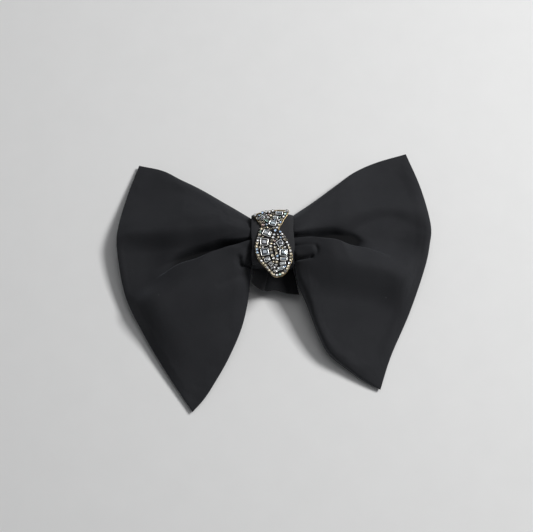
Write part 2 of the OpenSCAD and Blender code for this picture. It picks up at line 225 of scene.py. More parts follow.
def object_coords(nt):
    return nt.nodes.new("ShaderNodeTexCoord").outputs["Object"]


def fabric(name, dark, light, thread=0.34, kind="crepe", rough=0.86, sheen=0.12, bump=0.35, lint=True, tint=(0.7, 0.75, 0.85), fold_shade=False):
    """Woven cloth. UV is in mm; thread is the pitch of the weave in mm."""
    mt, nt, b = new_mat(name)
    uvn = nt.nodes.new("ShaderNodeUVMap")
    uvn.uv_map = "UVMap"
    uv = uvn.outputs["UV"]
    obj = object_coords(nt)
    sep = nt.nodes.new("ShaderNodeSeparateXYZ")
    nt.links.new(uv, sep.inputs[0])
    w = 2 * PI / thread
    wob = tex_noise(nt, uv, 0.9, 3.0)
    wobble = math_node(nt, "MULTIPLY", wob, 1.1)
    ax = math_node(nt, "ADD", math_node(nt, "MULTIPLY", sep.outputs[0], w), wobble)
    ay = math_node(nt, "ADD", math_node(nt, "MULTIPLY", sep.outputs[1], w), wobble)
    if kind == "rib":  # grosgrain: strong ribs across, faint threads along
        sx = math_node(nt, "SINE", ax)
        sy = math_node(nt, "SINE", math_node(nt, "MULTIPLY", sep.outputs[1], w * 2.2))
        weave = math_node(nt, "ADD", math_node(nt, "MULTIPLY", sx, 0.42), math_node(nt, "MULTIPLY", sy, 0.08))
    elif kind == "satin":
        sx = math_node(nt, "SINE", math_node(nt, "ADD", ax, math_node(nt, "MULTIPLY", ay, 3.0)))
        sy = math_node(nt, "SINE", ay)
        weave = math_node(nt, "ADD", math_node(nt, "MULTIPLY", sx, 0.2), math_node(nt, "MULTIPLY", sy, 0.25))
    else:  # plain crepe: over-under product of two thread waves
        sx, sy = math_node(nt, "SINE", ax), math_node(nt, "SINE", ay)
        weave = math_node(nt, "MULTIPLY", math_node(nt, "MULTIPLY", sx, sy), 0.5)
    weave = math_node(nt, "ADD", weave, 0.5)
    grain = tex_noise(nt, uv, 2.3, 5.0, 0.7)
    slub = tex_noise(nt, obj, 55.0, 3.0, 0.5)
    fac = math_node(nt, "ADD", math_node(nt, "MULTIPLY", weave, 0.35), math_node(nt, "MULTIPLY", ramp(nt, grain, 0.3, 0.7), 0.4))
    fac = math_node(nt, "ADD", fac, math_node(nt, "MULTIPLY", ramp(nt, slub, 0.35, 0.65), 0.25), clamp=True)
    col = mix_col(nt, fac, dark, light)
    if lint:
        vor = nt.nodes.new("ShaderNodeTexVoronoi")
        nt.links.new(uv, vor.inputs["Vector"])
        vor.inputs["Scale"].default_value = 0.075
        vor.inputs["Randomness"].default_value = 1.0
        dot = math_node(nt, "LESS_THAN", vor.outputs["Distance"], 0.014)
        col = mix_col(nt, math_node(nt, "MULTIPLY", dot, 0.5), col, (0.16, 0.165, 0.17))
    if fold_shade:  # painted shade: the Tint attribute darkens the cloth colour deep in the pleat
        at = nt.nodes.new("ShaderNodeAttribute")
        at.attribute_name = "Tint"
        col = mix_col(nt, at.outputs["Fac"], (0.0012, 0.0013, 0.0018), col)
    nt.links.new(col, b.inputs["Base Color"])
    r = nt.nodes.new("ShaderNodeMapRange")
    nt.links.new(fac, r.inputs["Value"])
    r.inputs["To Min"].default_value = rough + 0.06
    r.inputs["To Max"].default_value = rough - 0.08
    nt.links.new(r.outputs["Result"], b.inputs["Roughness"])
    b.inputs["Specular IOR Level"].default_value = 0.22
    b.inputs["Sheen Weight"].default_value = sheen
    b.inputs["Sheen Roughness"].default_value = 0.45
    b.inputs["Sheen Tint"].default_value = (*tint, 1)
    bp = nt.nodes.new("ShaderNodeBump")
    bp.inputs["Strength"].default_value = bump
    bp.inputs["Distance"].default_value = 0.00012
    hgt = math_node(nt, "ADD", weave, math_node(nt, "MULTIPLY", grain, 0.6))
    nt.links.new(hgt, bp.inputs["Height"])
    nt.links.new(bp.outputs["Normal"], b.inputs["Normal"])
    return mt


def metal(name, col, rough, worn=None, scratch=0.25, scale=400.0):
    mt, nt, b = new_mat(name)
    obj = object_coords(nt)
    n1 = tex_noise(nt, obj, scale, 4.0)
    n2 = tex_noise(nt, obj, scale * 6, 3.0)
    worn = worn or tuple(min(1, c * 1.35) for c in col)
    nt.links.new(mix_col(nt, ramp(nt, n1, 0.4, 0.7), col, worn), b.inputs["Base Color"])
    b.inputs["Metallic"].default_value = 1.0
    r = nt.nodes.new("ShaderNodeMapRange")
    nt.links.new(n2, r.inputs["Value"])
    r.inputs["To Min"].default_value = max(0.03, rough - 0.08)
    r.inputs["To Max"].default_value = rough + 0.12
    nt.links.new(r.outputs["Result"], b.inputs["Roughness"])
    bp = nt.nodes.new("ShaderNodeBump")
    bp.inputs["Strength"].default_value = scratch
    bp.inputs["Distance"].default_value = 0.00003
    nt.links.new(n2, bp.inputs["Height"])
    nt.links.new(bp.outputs["Normal"], b.inputs["Normal"])
    return mt


def crystal(name, rough=0.05, painted_sparkle_cut=0.35):
    """Foil-backed cut stone: each stone's own tint, with painted sparkle: lighter cells of the tint on a darker ground
    inside.
    """
    mt, nt, b = new_mat(name)
    at = nt.nodes.new("ShaderNodeAttribute")
    at.attribute_name = "Tint"
    obj = object_coords(nt)
    vor = nt.nodes.new("ShaderNodeTexVoronoi")
    nt.links.new(obj, vor.inputs["Vector"])
    vor.inputs["Scale"].default_value = 1600.0
    cell = vor.outputs["Distance"]
    # painted sparkle: the Voronoi cells keep the tint, the ground between them is darkened
    dark = mix_col(nt, 0.75, at.outputs["Color"], (0.02, 0.025, 0.035))
    col = mix_col(nt, ramp(nt, cell, painted_sparkle_cut, painted_sparkle_cut + 0.35), at.outputs["Color"], dark)
    nt.links.new(col, b.inputs["Base Color"])
    b.inputs["Metallic"].default_value = 0.92
    b.inputs["Roughness"].default_value = rough
    b.inputs["Coat Weight"].default_value = 1.0
    b.inputs["Coat Roughness"].default_value = 0.02
    b.inputs["Coat IOR"].default_value = 1.7
    return mt


BOW_DARK, BOW_LIGHT = (0.0145, 0.0150, 0.0172), (0.0250, 0.0257, 0.0290)
m_bow = fabric("bow_cloth", BOW_DARK, BOW_LIGHT, thread=0.36)
# wing cloth whose colour carries painted shade deep in the pleat
m_wing = fabric("wing_cloth", BOW_DARK, BOW_LIGHT, thread=0.36, fold_shade=True)
# knot: a lighter copy of the bow cloth with more sheen, painted light so the knot reads brighter
m_painted_light_knot = fabric("painted_light_knot_fabric", (0.021, 0.0213, 0.0235), (0.036, 0.0365, 0.039), thread=0.36, sheen=0.2)
m_back = fabric("back_cloth", BOW_DARK, BOW_LIGHT, thread=0.36, lint=False)
# lighter copy of the bow cloth: painted light for the left of the lower fold
m_painted_light_fold_left = fabric("painted_light_fold_left_cloth", (0.030, 0.0305, 0.0335), (0.048, 0.0487, 0.053), thread=0.36)
# much darker copy of the bow cloth: painted shade for the right of the lower fold
m_painted_shade_fold_right = fabric("painted_shade_fold_right_cloth", (0.0055, 0.0058, 0.0070), (0.0100, 0.0104, 0.0122), thread=0.36, sheen=0.03, lint=False)
m_lining = fabric("lining_felt", (0.30, 0.29, 0.26), (0.42, 0.41, 0.38), thread=0.6, rough=0.9, bump=0.5, lint=False)
m_strap = fabric("strap_grosgrain", (0.012, 0.012, 0.0135), (0.026, 0.026, 0.029), thread=0.9, kind="rib", rough=0.62, sheen=0.1, bump=0.8, lint=False)
m_thread = fabric("black_thread", (0.014, 0.014, 0.016), (0.05, 0.05, 0.055), thread=0.22, kind="satin", rough=0.55, sheen=0.1, bump=0.6, lint=False)
m_metal = metal("strap_nickel", (0.42, 0.43, 0.45), 0.24)
m_gold = metal("champagne_plate", (0.34, 0.26, 0.14), 0.28, worn=(0.66, 0.53, 0.32))
m_pave = metal("pave_ground", (0.012, 0.012, 0.014), 0.45, worn=(0.045, 0.042, 0.038), scale=1500)
m_cup = metal("setting_dark", (0.13, 0.126, 0.122), 0.2, worn=(0.35, 0.32, 0.26), scale=900)
m_frame = metal("setting_bright", (0.74, 0.75, 0.76), 0.26, worn=(0.92, 0.9, 0.85), scale=900)
m_round = crystal("round_crystal", 0.2, 0.45)
m_cut = crystal("step_cut_crystal", 0.04, 0.45)

# ------------------------------------------------------------------- wings
right_top = [[10.9, 14.5, 16], [21, 22, 14.5], [33.5, 32.5, 11.5], [43, 40.5, 8.5], [55, 47.4, 4.6], [71.5, 53.2, 2.4]]
right_out = [[71.5, 53.2, 2.4], [78.5, 33, 4.4], [82.2, 11.5, 9.6], [81.2, 0, 9.8], [78, -13, 9], [70, -35, 4.5], [60, -57, 2.8], [54.2, -74, 2.2]]
right_in = [[10.9, -10.5, 13], [12.5, -20, 11.5], [17, -31, 10], [22, -44.5, 8], [28, -56, 5.5], [38, -64, 3.5], [46, -69.5, 2.5], [54.2, -74, 2.2]]
left_top = [[10.9, 12.5, 16], [26.4, 23, 13.5], [38, 31, 10.5], [48, 37, 8], [58, 43.4, 4.6], [71, 47.3, 2.4]]
left_out = [[71, 47.3, 2.4], [76.5, 29.6, 4.8], [80.4, 10, 9.6], [80.4, -3, 9.8], [76, -25.5, 6.5], [67, -44, 3.8], [55, -64, 2.8], [40.8, -85, 2.2]]
left_in = [[10.9, -10.5, 13], [11.6, -20, 11.5], [13.2, -32, 9.5], [16.5, -44.5, 8], [23, -59, 6], [30, -71, 4], [35, -78.5, 2.8], [40.8, -85, 2.2]]
front_rise = [9, 11.5, 12, 11.4, 10.4, 9, 7]
back_rise = [3, 5.5, 7.6, 8, 8, 6.5, 0]


def patch(W, u, v):
    T, B, O = cr(W[0], u), cr(W[2], u), cr(W[1], v)
    a, d, b, c = (np.array(q, float) for q in (W[0][0], W[2][0], W[1][0], W[1][-1]))
    u, v = u[..., None], v[..., None]
    return ((1 - v) * T + v * B + (1 - u) * ((1 - v) * a + v * d) + u * O
            - ((1 - u) * (1 - v) * a + u * (1 - v) * b + (1 - u) * v * d + u * v * c))


# fold profile across the long pleat: material distance -> place and height (mm)
FOLD_Q = [-17, -11, -8, -6, -4.7, -3.7, -2.6, -1.0, 0.6, 1.8, 3.0, 4.6, 7.5, 12, 18]
FOLD_S = [0, 0.2, 0.4, 0.8, 0.5, 0.1, -0.4, -0.6, -0.4, -1.5, -3.6, -4.8, -3.4, -1.4, 0]
FOLD_Z = [0, -0.15, -0.5, -1.3, -3.2, -5.6, -7.8, -8.8, -8.6, -5.4, -1.7, 0.1, 0.5, 0.3, 0]

SHAPE = {
    "right": dict(
        W=(right_top, right_out, right_in), sx=1, seed=11,
        pleat=[[8, 0.9], [11.3, 0.7], [18, 0.6], [27.5, 0.2], [36, -1.0], [41.5, -1.9], [46, -2.7], [53, -4.2], [60, -5.5], [84, -9.0]],
        band=[[8, 5], [20, 5.4], [32, 7.4], [44, 12.0], [50, 14.6], [56, 16.6], [62, 17.0], [70, 15.5], [84, 12]], band_w=[[8, 14], [36, 13], [46, 9.5], [66, 9.5], [84, 13]], band_d=[[8, 2.6], [30, 3.4], [42, 5.4], [52, 6.0], [64, 5.5], [74, 4.1], [84, 2.6]],
        fade=(0.44, 0.66), step=(4.0, 22.0), wide=(0.5, 0.5, 0.45, 0.14, 0.36),
        terrace=[[8, -18], [20, -20], [40, -21.5], [52, -23], [62, -27], [72, -34], [84, -46]], terrace_d=7.2, terrace_w=19.0,
        soft=-0.27, open=(0.42, 0.0), slide=(0.62, 0.86), edge=[[0, 5], [0.3, 8], [0.5, 7], [0.75, 6], [1, 4]], edge_l=15.0),
    "left": dict(
        W=(left_top, left_out, left_in), sx=-1, seed=23,
        pleat=[[8, 0.2], [11, -0.4], [20, -3.2], [30, -6.2], [40, -8.2], [47, -10.0], [56.5, -14.5], [66, -18.6], [84, -24.5]],
        band=[[8, 4.2], [20, 2.8], [35, 1.5], [50, 1.5], [65, 1.5], [84, 1]], band_w=[[8, 11], [84, 11]], band_d=[[8, 2.6], [22, 3.4], [36, 5.4], [56, 5.4], [70, 3.0], [84, 1.5]],
        fade=(0.40, 0.78), step=(4.0, 20.0), wide=(0.32, 0.58, 0.25, 0.1, 0.3),
        terrace=None, terrace_d=0, terrace_w=1,
        soft=0.4, open=(0.1, 0.32), slide=(0.6, 0.86), edge=[[0, 4], [0.2, 5], [0.34, 7.5], [0.44, 4.5], [0.54, 5], [0.64, 15], [0.82, 15.5], [1, 8]], edge_l=19.0),
}
RIM = 0.8


def wing_front(key, tu, tv):
    """Points (mm, about the knot) and flat coordinates of the front panel."""
    S = SHAPE[key]
    W = S["W"]
    u = tu - 0.72 * np.sin(2 * PI * tu) / (2 * PI)
    v = tv - 0.84 * np.sin(4 * PI * tv) / (4 * PI)
    U, V = np.meshgrid(u, v, indexing="ij")
    P = patch(W, U, V)
    seg = np.linalg.norm(np.diff(P[..., :2], axis=1), axis=2)
    sv = np.concatenate([np.zeros((len(u), 1)), np.cumsum(seg, 1)], 1)
    Sv = sv[:, -1:]
    seg = np.linalg.norm(np.diff(P[..., :2], axis=0), axis=2)
    su = np.concatenate([np.zeros((1, len(v))), np.cumsum(seg, 0)], 0)
    so = su[-1:] - su
    eps = 1e-6
    rho = ((sv + eps) ** -4.0 + (Sv - sv + eps) ** -4.0 + (so + eps) ** -4.0) ** -0.25
    # where the pleat crosses each row
    yc = table(P[..., 0], *zip(*S["pleat"]))
    f = P[..., 1] - yc
    q = np.zeros_like(f)
    for i in range(len(u)):
        j = np.nonzero((f[i, :-1] > 0) & (f[i, 1:] <= 0))[0]
        j = j[0] if len(j) else len(v) // 2
        a = f[i, j] / max(1e-9, f[i, j] - f[i, j + 1])
        q[i] = sv[i] - (sv[i, j] * (1 - a) + sv[i, j + 1] * a)
    # directions in the plane: along the rows (out from the knot) and across them
    dv = np.gradient(P[..., :2], axis=1)
    dv /= np.linalg.norm(dv, axis=2, keepdims=True) + 1e-9
    inner = smooth(rho, 0.3, 4.5)
    k0, k1, k2 = S["wide"][:3]
    shut = smooth(U, *S["fade"])
    kq = (k0 + k1 * smooth(U, 0.0, 0.26) + k2 * smooth(U, *S["wide"][3:])) * (1 - 0.3 * shut)
    amp = (0.75 + 0.25 * smooth(U, 0.0, 0.2)) * (1 - shut)
    over = 1 - S["open"][0] * smooth(U, 0.06, 0.3) - S["open"][1] * smooth(U, 0.3, 0.5)
    ds = kq * table(q / kq, FOLD_Q, FOLD_S) * over * (0.75 + 0.25 * smooth(U, 0.0, 0.2)) * (1 - smooth(U, *S["slide"]))
    dz = kq**0.6 * table(q / kq, FOLD_Q, FOLD_Z) * amp
    X = P[..., 0] + dv[..., 0] * ds * inner
    Y = P[..., 1] + dv[..., 1] * ds * inner
    # broad hollow of the upper lobe towards the pleat
    yb = table(X, *zip(*S["band"]))
    bw = table(X, *zip(*S["band_w"])) / 2
    low = 1 - smooth((Y - yb) / bw, -1, 1)
    w_r = S["step"][0] + (S["step"][1] - S["step"][0]) * smooth(U, S["fade"][0] - 0.1, S["fade"][1] - 0.1)
    c_r = 2.3 * (1 - shut)
    ridge = smooth(q, -0.4 * w_r + c_r, 0.6 * w_r + c_r)
    near = smooth(X, 10.5, 22)
    w_e = smooth(U, 0.5, 0.95)
    rise = cr(front_rise, U) * (1 - w_e) + table(V, *zip(*S["edge"])) * w_e
    z = rise * np.maximum(0, np.sin(PI * V)) ** (0.55 + S["soft"] * smooth(V, 0.5, 0.75))
    z = z - table(X, *zip(*S["band_d"])) * low * (1 - ridge) * near * inner
    if S["terrace"]:
        yt = table(X, *zip(*S["terrace"]))
        hi = smooth(Y - yt, -S["terrace_w"] / 2, S["terrace_w"] / 2)
        z = z + S["terrace_d"] * (hi * ridge - 0.35) * smooth(X, 13, 32) * smooth(rho, 0.5, 9) * smooth(Y, -72, -40)
    if key == "left":
        z = z + 1.6 * np.exp(-(((q - 19) / 11) ** 2)) * smooth(U, 0.05, 0.3) * inner
    z = z + dz * inner
    z = -smin(-z, 0.6 + 0 * z, 1.2) * inner + z * (1 - inner)
    # the outer strip rolls down to the seam
    z = P[..., 2] + z * (1 - (1 - np.clip(so / S["edge_l"], 0, 1)) ** 2.3)
    # tucks where the cloth comes out of the knot
    if key == "right":
        z = z + tuck(X, Y, (7.5, -6.9), (18.9, -7.2), 3.6, 1.1, inner)
        z = z - crease(X, Y, [(10.6, -10.3), (14, -10.4), (17, -10.3), (19.6, -9.9)], 0.75, 2.6)
        z = z - crease(X, Y, [(19.6, -9.9), (21.8, -8.6), (22.3, -6.6), (21.6, -5.2)], 0.85, 1.1)
        z = z - crease(X, Y, [(10.8, -3.7), (14, -3.8), (18, -4.0), (20.5, -4.4)], 0.45, 0.35)
    else:
        z = z + tuck(X, Y, (7.5, -8.6), (14.2, -8.6), 4.2, 0.9, inner)
        z = z - crease(X, Y, [(10.6, -12.8), (13.5, -12.7), (15.8, -12.4)], 0.75, 2.4)
        z = z - crease(X, Y, [(16.6, -12.4), (17.2, -11.0), (17.0, -9.6)], 1.35, 2.0)
        z = z - crease(X, Y, [(14, -17.2), (20, -19.2), (27, -22.5)], 1.6, 0.5)
        z = z - crease(X, Y, [(52, 30), (40, 25), (28, 19)], 4.0, 0.7)
    # soft gathers fanning from the knot, and the calm waves of a light cloth
    ang = np.arctan2(Y - 1.0, X + 4)
    fan = np.exp(-np.maximum(0, X - 10.9) / 11.0)
    z = z + 0.42 * fan * np.sin(ang * 17 + S["seed"]) * inner
    z = z + (0.34 * noise(X, Y, 23.0, S["seed"]) + 0.15 * noise(X, Y, 10.5, S["seed"] + 1)) * inner * near
    pucker = np.exp(-((rho - 2.6) / 2.2) ** 2)
    z = z + 0.10 * pucker * noise(sv + so, sv - so, 5.5, S["seed"] + 2)
    # rolled rim with the seam groove
    r = np.clip(rho / RIM, 0, 1)
    h = RIM * np.sqrt(1 - (1 - r) ** 2)
    z = z + h
    Q = P.copy()
    Q[..., :2] += dv * ds[..., None] * inner[..., None]
    Q[..., 2] = z
    groove(Q, P, h)
    # painted shade: the cloth colour is darkened with the depth of the pleat, carried in the Tint attribute
    shade = 1 - 0.9 * smooth(-dz * inner, 1.2, 5.5)
    return Q, P, U, V, rho, shade


def groove(Q, P, h):
    """Pulls the last half millimetre at the seam inwards."""
    c = np.array([40.0, -5.0])
    pull = 0.28 * (1 - smooth(h, 0.0, 0.55))
    d = c - P[..., :2]
    # inward: away from the three edges, along the shorter way to the middle of the panel
    d /= np.linalg.norm(d, axis=2, keepdims=True)
    Q[..., :2] += d * pull[..., None]


def seg_dist(X, Y, a, b):
    ax, ay = a
    bx, by = b
    L = (bx - ax) ** 2 + (by - ay) ** 2
    t = np.clip(((X - ax) * (bx - ax) + (Y - ay) * (by - ay)) / L, 0, 1)
    return np.hypot(X - ax - t * (bx - ax), Y - ay - t * (by - ay))


def tuck(X, Y, a, b, r, h, inner):
    d = seg_dist(X, Y, a, b) / r
    return h * np.maximum(0, 1 - np.minimum(d, 1) ** 2) ** 1.3 * inner


def crease(X, Y, pts, w, depth):
    d = np.full(X.shape, 1e9)
    for a, b in zip(pts[:-1], pts[1:]):
        d = np.minimum(d, seg_dist(X, Y, a, b))
    return depth * np.exp(-((d / w) ** 2))


def tunnel(y):
    return np.clip(8 * (20 - np.abs(y)) / 8.2, 0, 8)


def wing_back(key, nu, nv):
    S = SHAPE[key]
    tu, tv = np.linspace(0, 1, nu), np.linspace(0, 1, nv)
    u = tu - 0.72 * np.sin(2 * PI * tu) / (2 * PI)
    v = tv - 0.84 * np.sin(2 * PI * tv) / (2 * PI)
    U, V = np.meshgrid(u, v, indexing="ij")
    P = patch(S["W"], U, V)
    seg = np.linalg.norm(np.diff(P[..., :2], axis=1), axis=2)
    sv = np.concatenate([np.zeros((nu, 1)), np.cumsum(seg, 1)], 1)
    seg = np.linalg.norm(np.diff(P[..., :2], axis=0), axis=2)
    su = np.concatenate([np.zeros((1, nv)), np.cumsum(seg, 0)], 0)
    so = su[-1:] - su
    eps = 1e-6
    rho = ((sv + eps) ** -4.0 + (sv[:, -1:] - sv + eps) ** -4.0 + (so + eps) ** -4.0) ** -0.25
    X, Y, E = P[..., 0], P[..., 1], P[..., 2]
    r = np.clip(rho / RIM, 0, 1)
    h = RIM * np.sqrt(1 - (1 - r) ** 2)
    rise = cr(back_rise, U) * np.maximum(0, np.sin(PI * V)) ** 0.6
    waves = 0.5 * noise(X, Y, 19.0, S["seed"] + 5) + 0.22 * noise(X, Y, 8.0, S["seed"] + 6)
    rise = rise + waves * smooth(rho, 0.5, 6)
    fan = np.exp(-np.maximum(0, X - 10.9) / 10.0)
    rise = rise + 0.5 * fan * np.sin(np.arctan2(Y - 1, X + 4) * 15) * smooth(rho, 0.5, 4)
    floor_z = np.maximum(tunnel(Y), 0.22)
    room = np.maximum(0.0, E - h - floor_z)
    rise = np.minimum(smin(rise, room, 0.9), room)
    Q = P.copy()
    Q[..., 2] = E - h - np.maximum(rise, -0.4)
    Q[..., 2] = np.minimum(Q[..., 2], E)
    groove(Q, P, h)
    return Q, P, rho


def under_knot(Q, uv, steps=4):
    """Adds rows that carry the panel on into the knot, drawn together."""
    rows, urows = [], []
    first = Q[0]
    mid = np.array([0, first[:, 1].mean(), 15.5])
    for k in range(steps, 0, -1):
        t = k / steps
        R = first.copy()
        R[:, 0] = first[:, 0] - 1.9 * t
        s = 1 - 0.16 * math.sin(t * PI / 2)
        R[:, 1] = mid[1] * (1 - 0.3 * t) + (first[:, 1] - mid[1]) * s
        R[:, 2] = mid[2] + (first[:, 2] - mid[2]) * (1 - 0.13 * math.sin(t * PI / 2))
        rows.append(R)
        W = uv[0].copy()
        W[:, 0] -= 1.9 * t
        urows.append(W)
    return np.concatenate([np.array(rows), Q], 0), np.concatenate([np.array(urows), uv], 0)


def relax(key, Q, rho):
    """Short cloth run on the front panel: gentle inner pressure fills it and settles real ripples.
    Returns the movement of each point of the grid, along Z, in mm."""
    m, n = Q.shape[:2]
    V = Q.reshape(-1, 3)
    o = make("relax_" + key, V, grid_faces(m, n))
    g = o.vertex_groups.new(name="pin")
    r = rho.ravel()
    x = V[:, 0]
    wt = 1 - smooth(r, 1.0, 7.0) * smooth(np.abs(x), 11, 24)
    for k in range(len(V)):
        g.add([k], float(max(0.02, wt[k])), "REPLACE")
    md = o.modifiers.new("Cloth", "CLOTH")
    c = md.settings
    c.quality = 6
    c.mass = 0.15
    c.tension_stiffness = 18
    c.compression_stiffness = 18
    c.shear_stiffness = 8
    c.bending_stiffness = 0.6
    c.air_damping = 2
    c.vertex_group_mass = "pin"
    c.pin_stiffness = 1.2
    c.shrink_min = -0.012
    c.use_pressure = True
    c.uniform_pressure_force = 0.55
    c.effector_weights.gravity = 0.25
    md.collision_settings.use_collision = False
    md.collision_settings.use_self_collision = False
    scene.frame_start, scene.frame_end = 1, 16
    md.point_cache.frame_start, md.point_cache.frame_end = 1, 16
    for f in range(1, 17):
        scene.frame_set(f)
    dg = bpy.context.evaluated_depsgraph_get()
    e = o.evaluated_get(dg)
    co = np.zeros(len(V) * 3, np.float32)
    e.data.vertices.foreach_get("co", co)
    d = co.reshape(-1, 3).astype(float) / MM - V
    scene.frame_set(1)
    me = o.data
    bpy.data.objects.remove(o)
    bpy.data.meshes.remove(me)
    print("relax", key, "moved mm: mean %.2f max %.2f" % (np.abs(d[:, 2]).mean(), np.abs(d).max()))
    return d[:, 2].reshape(m, n)


def resample(D, m, n):
    a, b = D.shape
    i, j = np.linspace(0, a - 1, m), np.linspace(0, b - 1, n)
    i0, j0 = np.minimum(i.astype(int), a - 2), np.minimum(j.astype(int), b - 2)
    fi, fj = (i - i0)[:, None], (j - j0)[None]
    return ((D[i0][:, j0] * (1 - fi) + D[i0 + 1][:, j0] * fi) * (1 - fj)
            + (D[i0][:, j0 + 1] * (1 - fi) + D[i0 + 1][:, j0 + 1] * fi) * fj)


def solid_sheet(o, t):
    md = o.modifiers.new("thickness", "SOLIDIFY")
    md.thickness = t * MM
    md.offset = -1
    md.use_even_offset = False
    md.use_rim = True


for key in ("right", "left"):
    S = SHAPE[key]
    NU, NV = 150, 200
    tu, tv = np.linspace(0, 1, NU), np.linspace(0, 1, NV)
    Q, P, U, V, rho, shade = wing_front(key, tu, tv)
    cu, cv = np.linspace(0, 1, 52), np.linspace(0, 1, 68)
    Qc, Pc, _, _, rc, _ = wing_front(key, cu, cv)
    D = 0.8 * np.tanh(relax(key, Qc, rc) / 2.5)
    Q[..., 2] += resample(D, NU, NV) * smooth(rho, 0.6, 5)
    uv = P[..., :2].copy()
    Q2, uv2 = under_knot(Q, uv)
    A = Q2.reshape(-1, 3) * np.array([S["sx"], 1, 1]) + K
    # the Tint attribute of the front panel holds its painted fold shade
    o = make("wing_%s_front_panel" % key, A, grid_faces(*Q2.shape[:2], flip=S["sx"] < 0), m_wing, uv2.reshape(-1, 2),
             attr=np.repeat(np.concatenate([shade[:1]] * 4 + [shade], 0).reshape(-1, 1), 3, 1))
    o.data.flip_normals() if o.data.polygons[len(o.data.polygons) // 2].normal.z < 0 else None
    solid_sheet(o, 0.6)
    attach(o, "bow")
    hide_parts("wing_%s_front" % key)

    B, PB, rb = wing_back(key, 80, 96)
    uvb = PB[..., :2].copy() + 300
    B2, uvb2 = under_knot(B, uvb)
    A = B2.reshape(-1, 3) * np.array([S["sx"], 1, 1]) + K
    o = make("wing_%s_back_panel" % key, A, grid_faces(*B2.shape[:2]), m_back, uvb2.reshape(-1, 2))
    o.data.flip_normals() if o.data.polygons[len(o.data.polygons) // 2].normal.z > 0 else None
    solid_sheet(o, 0.5)
    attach(o, "bow")
    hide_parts("wing_%s_back" % key)

    # stiffening felt between the two panels, a little smaller than they are
    iu, iv = np.linspace(0.14, 0.86, 40), np.linspace(0.12, 0.88, 46)
    Ui, Vi = np.meshgrid(iu, iv, indexing="ij")
    Pi = patch(S["W"], Ui, Vi)
    Zi = Pi[..., 2] + 0.25 * noise(Pi[..., 0], Pi[..., 1], 14, 77)
    # it lies under the front cloth and over the back one everywhere
    qf, qb = Q[::2, ::2].reshape(-1, 3), B.reshape(-1, 3)
    for i in range(40):
        df = (Pi[i, :, None, 0] - qf[None, :, 0]) ** 2 + (Pi[i, :, None, 1] - qf[None, :, 1]) ** 2
        db = (Pi[i, :, None, 0] - qb[None, :, 0]) ** 2 + (Pi[i, :, None, 1] - qb[None, :, 1]) ** 2
        top_z = np.where(df < 2.6**2, qf[None, :, 2], 99.0).min(1) - 1.1
        low_z = np.where(db < 2.2**2, qb[None, :, 2], -99.0).max(1) + 1.0
        Zi[i] = np.maximum(np.minimum(Zi[i], top_z), np.minimum(low_z, top_z))
    Qi = np.concatenate([Pi[..., :2], Zi[..., None]], 2)
    A = Qi.reshape(-1, 3) * np.array([S["sx"], 1, 1]) + K
    o = make("wing_%s_stiffening" % key, A, grid_faces(40, 46), m_lining, Pi[..., :2].reshape(-1, 2))
    solid_sheet(o, 0.5)
    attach(o, "bow")
    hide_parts("wing_%s_interlining" % key)


# -------------------------------------------------------------------- knot
def loop_profile(a, hy, hz, n):
    """Point of a squarish ring at angle a: place up the bow, height."""
    c, s = np.cos(a), np.sin(a)
    return hy * np.sign(c) * np.abs(c) ** (2 / n), hz * np.sign(s) * np.abs(s) ** (2 / n)


def ring_band(name, half_w, hy, hz, zc, t, n, mat, crown=0.5, na=220, wrinkle=0.0, seed=3, lip=0.55):
    """Cloth band wrapped round the bow: outer face, rolled edges and inner face, closed."""
    # section: x across, off outwards
    xs, off = [], []
    for k in range(25):
        x = -half_w + lip + (2 * half_w - 2 * lip) * k / 24
        xs.append(x)
        off.append(0.0)
    for k in range(1, 8):
        a = PI / 2 - PI * k / 8
        xs.append(half_w - lip + lip * math.cos(a))
        off.append(-t / 2 + t / 2 * math.sin(a))
    for k in range(13):
        x = half_w - lip - (2 * half_w - 2 * lip) * k / 12
        xs.append(x)
        off.append(-t)
    for k in range(1, 8):
        a = -PI / 2 - PI * k / 8
        xs.append(-half_w + lip + lip * math.cos(a))
        off.append(-t / 2 + t / 2 * math.sin(a))
    xs, off = np.array(xs), np.array(off)
    ns = len(xs)
    # even steps round the ring
    fine = np.linspace(0, 2 * PI, 4001)
    y, z = loop_profile(fine, hy, hz, n)
    L = np.concatenate([[0], np.cumsum(np.hypot(np.diff(y), np.diff(z)))])
    s = np.linspace(0, L[-1], na + 1)[:-1]
    a = np.interp(s, L, fine)
    y, z = loop_profile(a, hy, hz, n)
    ty, tz = np.gradient(np.concatenate([y[-1:], y, y[:1]]))[1:-1], np.gradient(np.concatenate([z[-1:], z, z[:1]]))[1:-1]
    ln = np.hypot(ty, tz)
    ny, nz = tz / ln, -ty / ln
    X = np.repeat(xs[None], na, 0)
    O = np.repeat(off[None], na, 0)
    Sg = np.repeat(s[:, None], ns, 1)
    outer = (O > -t * 0.5).astype(float)
    O = O + outer * crown * (1 - (X / half_w) ** 2) * 0.6
    O = O - outer * 0.35 * smooth(np.abs(X), half_w - 2.4, half_w - 0.4)
    if wrinkle:
        O = O + outer * wrinkle * (noise(X * 0.55, Sg, 4.2, seed) + 0.5 * noise(X * 0.4, Sg, 2.1, seed + 1))
        X = X + 0.35 * noise(Sg, Sg * 0, 7.0, seed + 2) * np.abs(X / half_w)
    Y = y[:, None] + ny[:, None] * O
    Z = z[:, None] + nz[:, None] * O
    A = np.stack([X, Y, Z + zc], 2)
    uv = np.stack([X, Sg], 2)
    o = make(name, A.reshape(-1, 3) + K, grid_faces(na, ns, wrap_m=True, wrap_n=True), mat, uv.reshape(-1, 2))
    fix_normals(o)
    return o, L[-1]


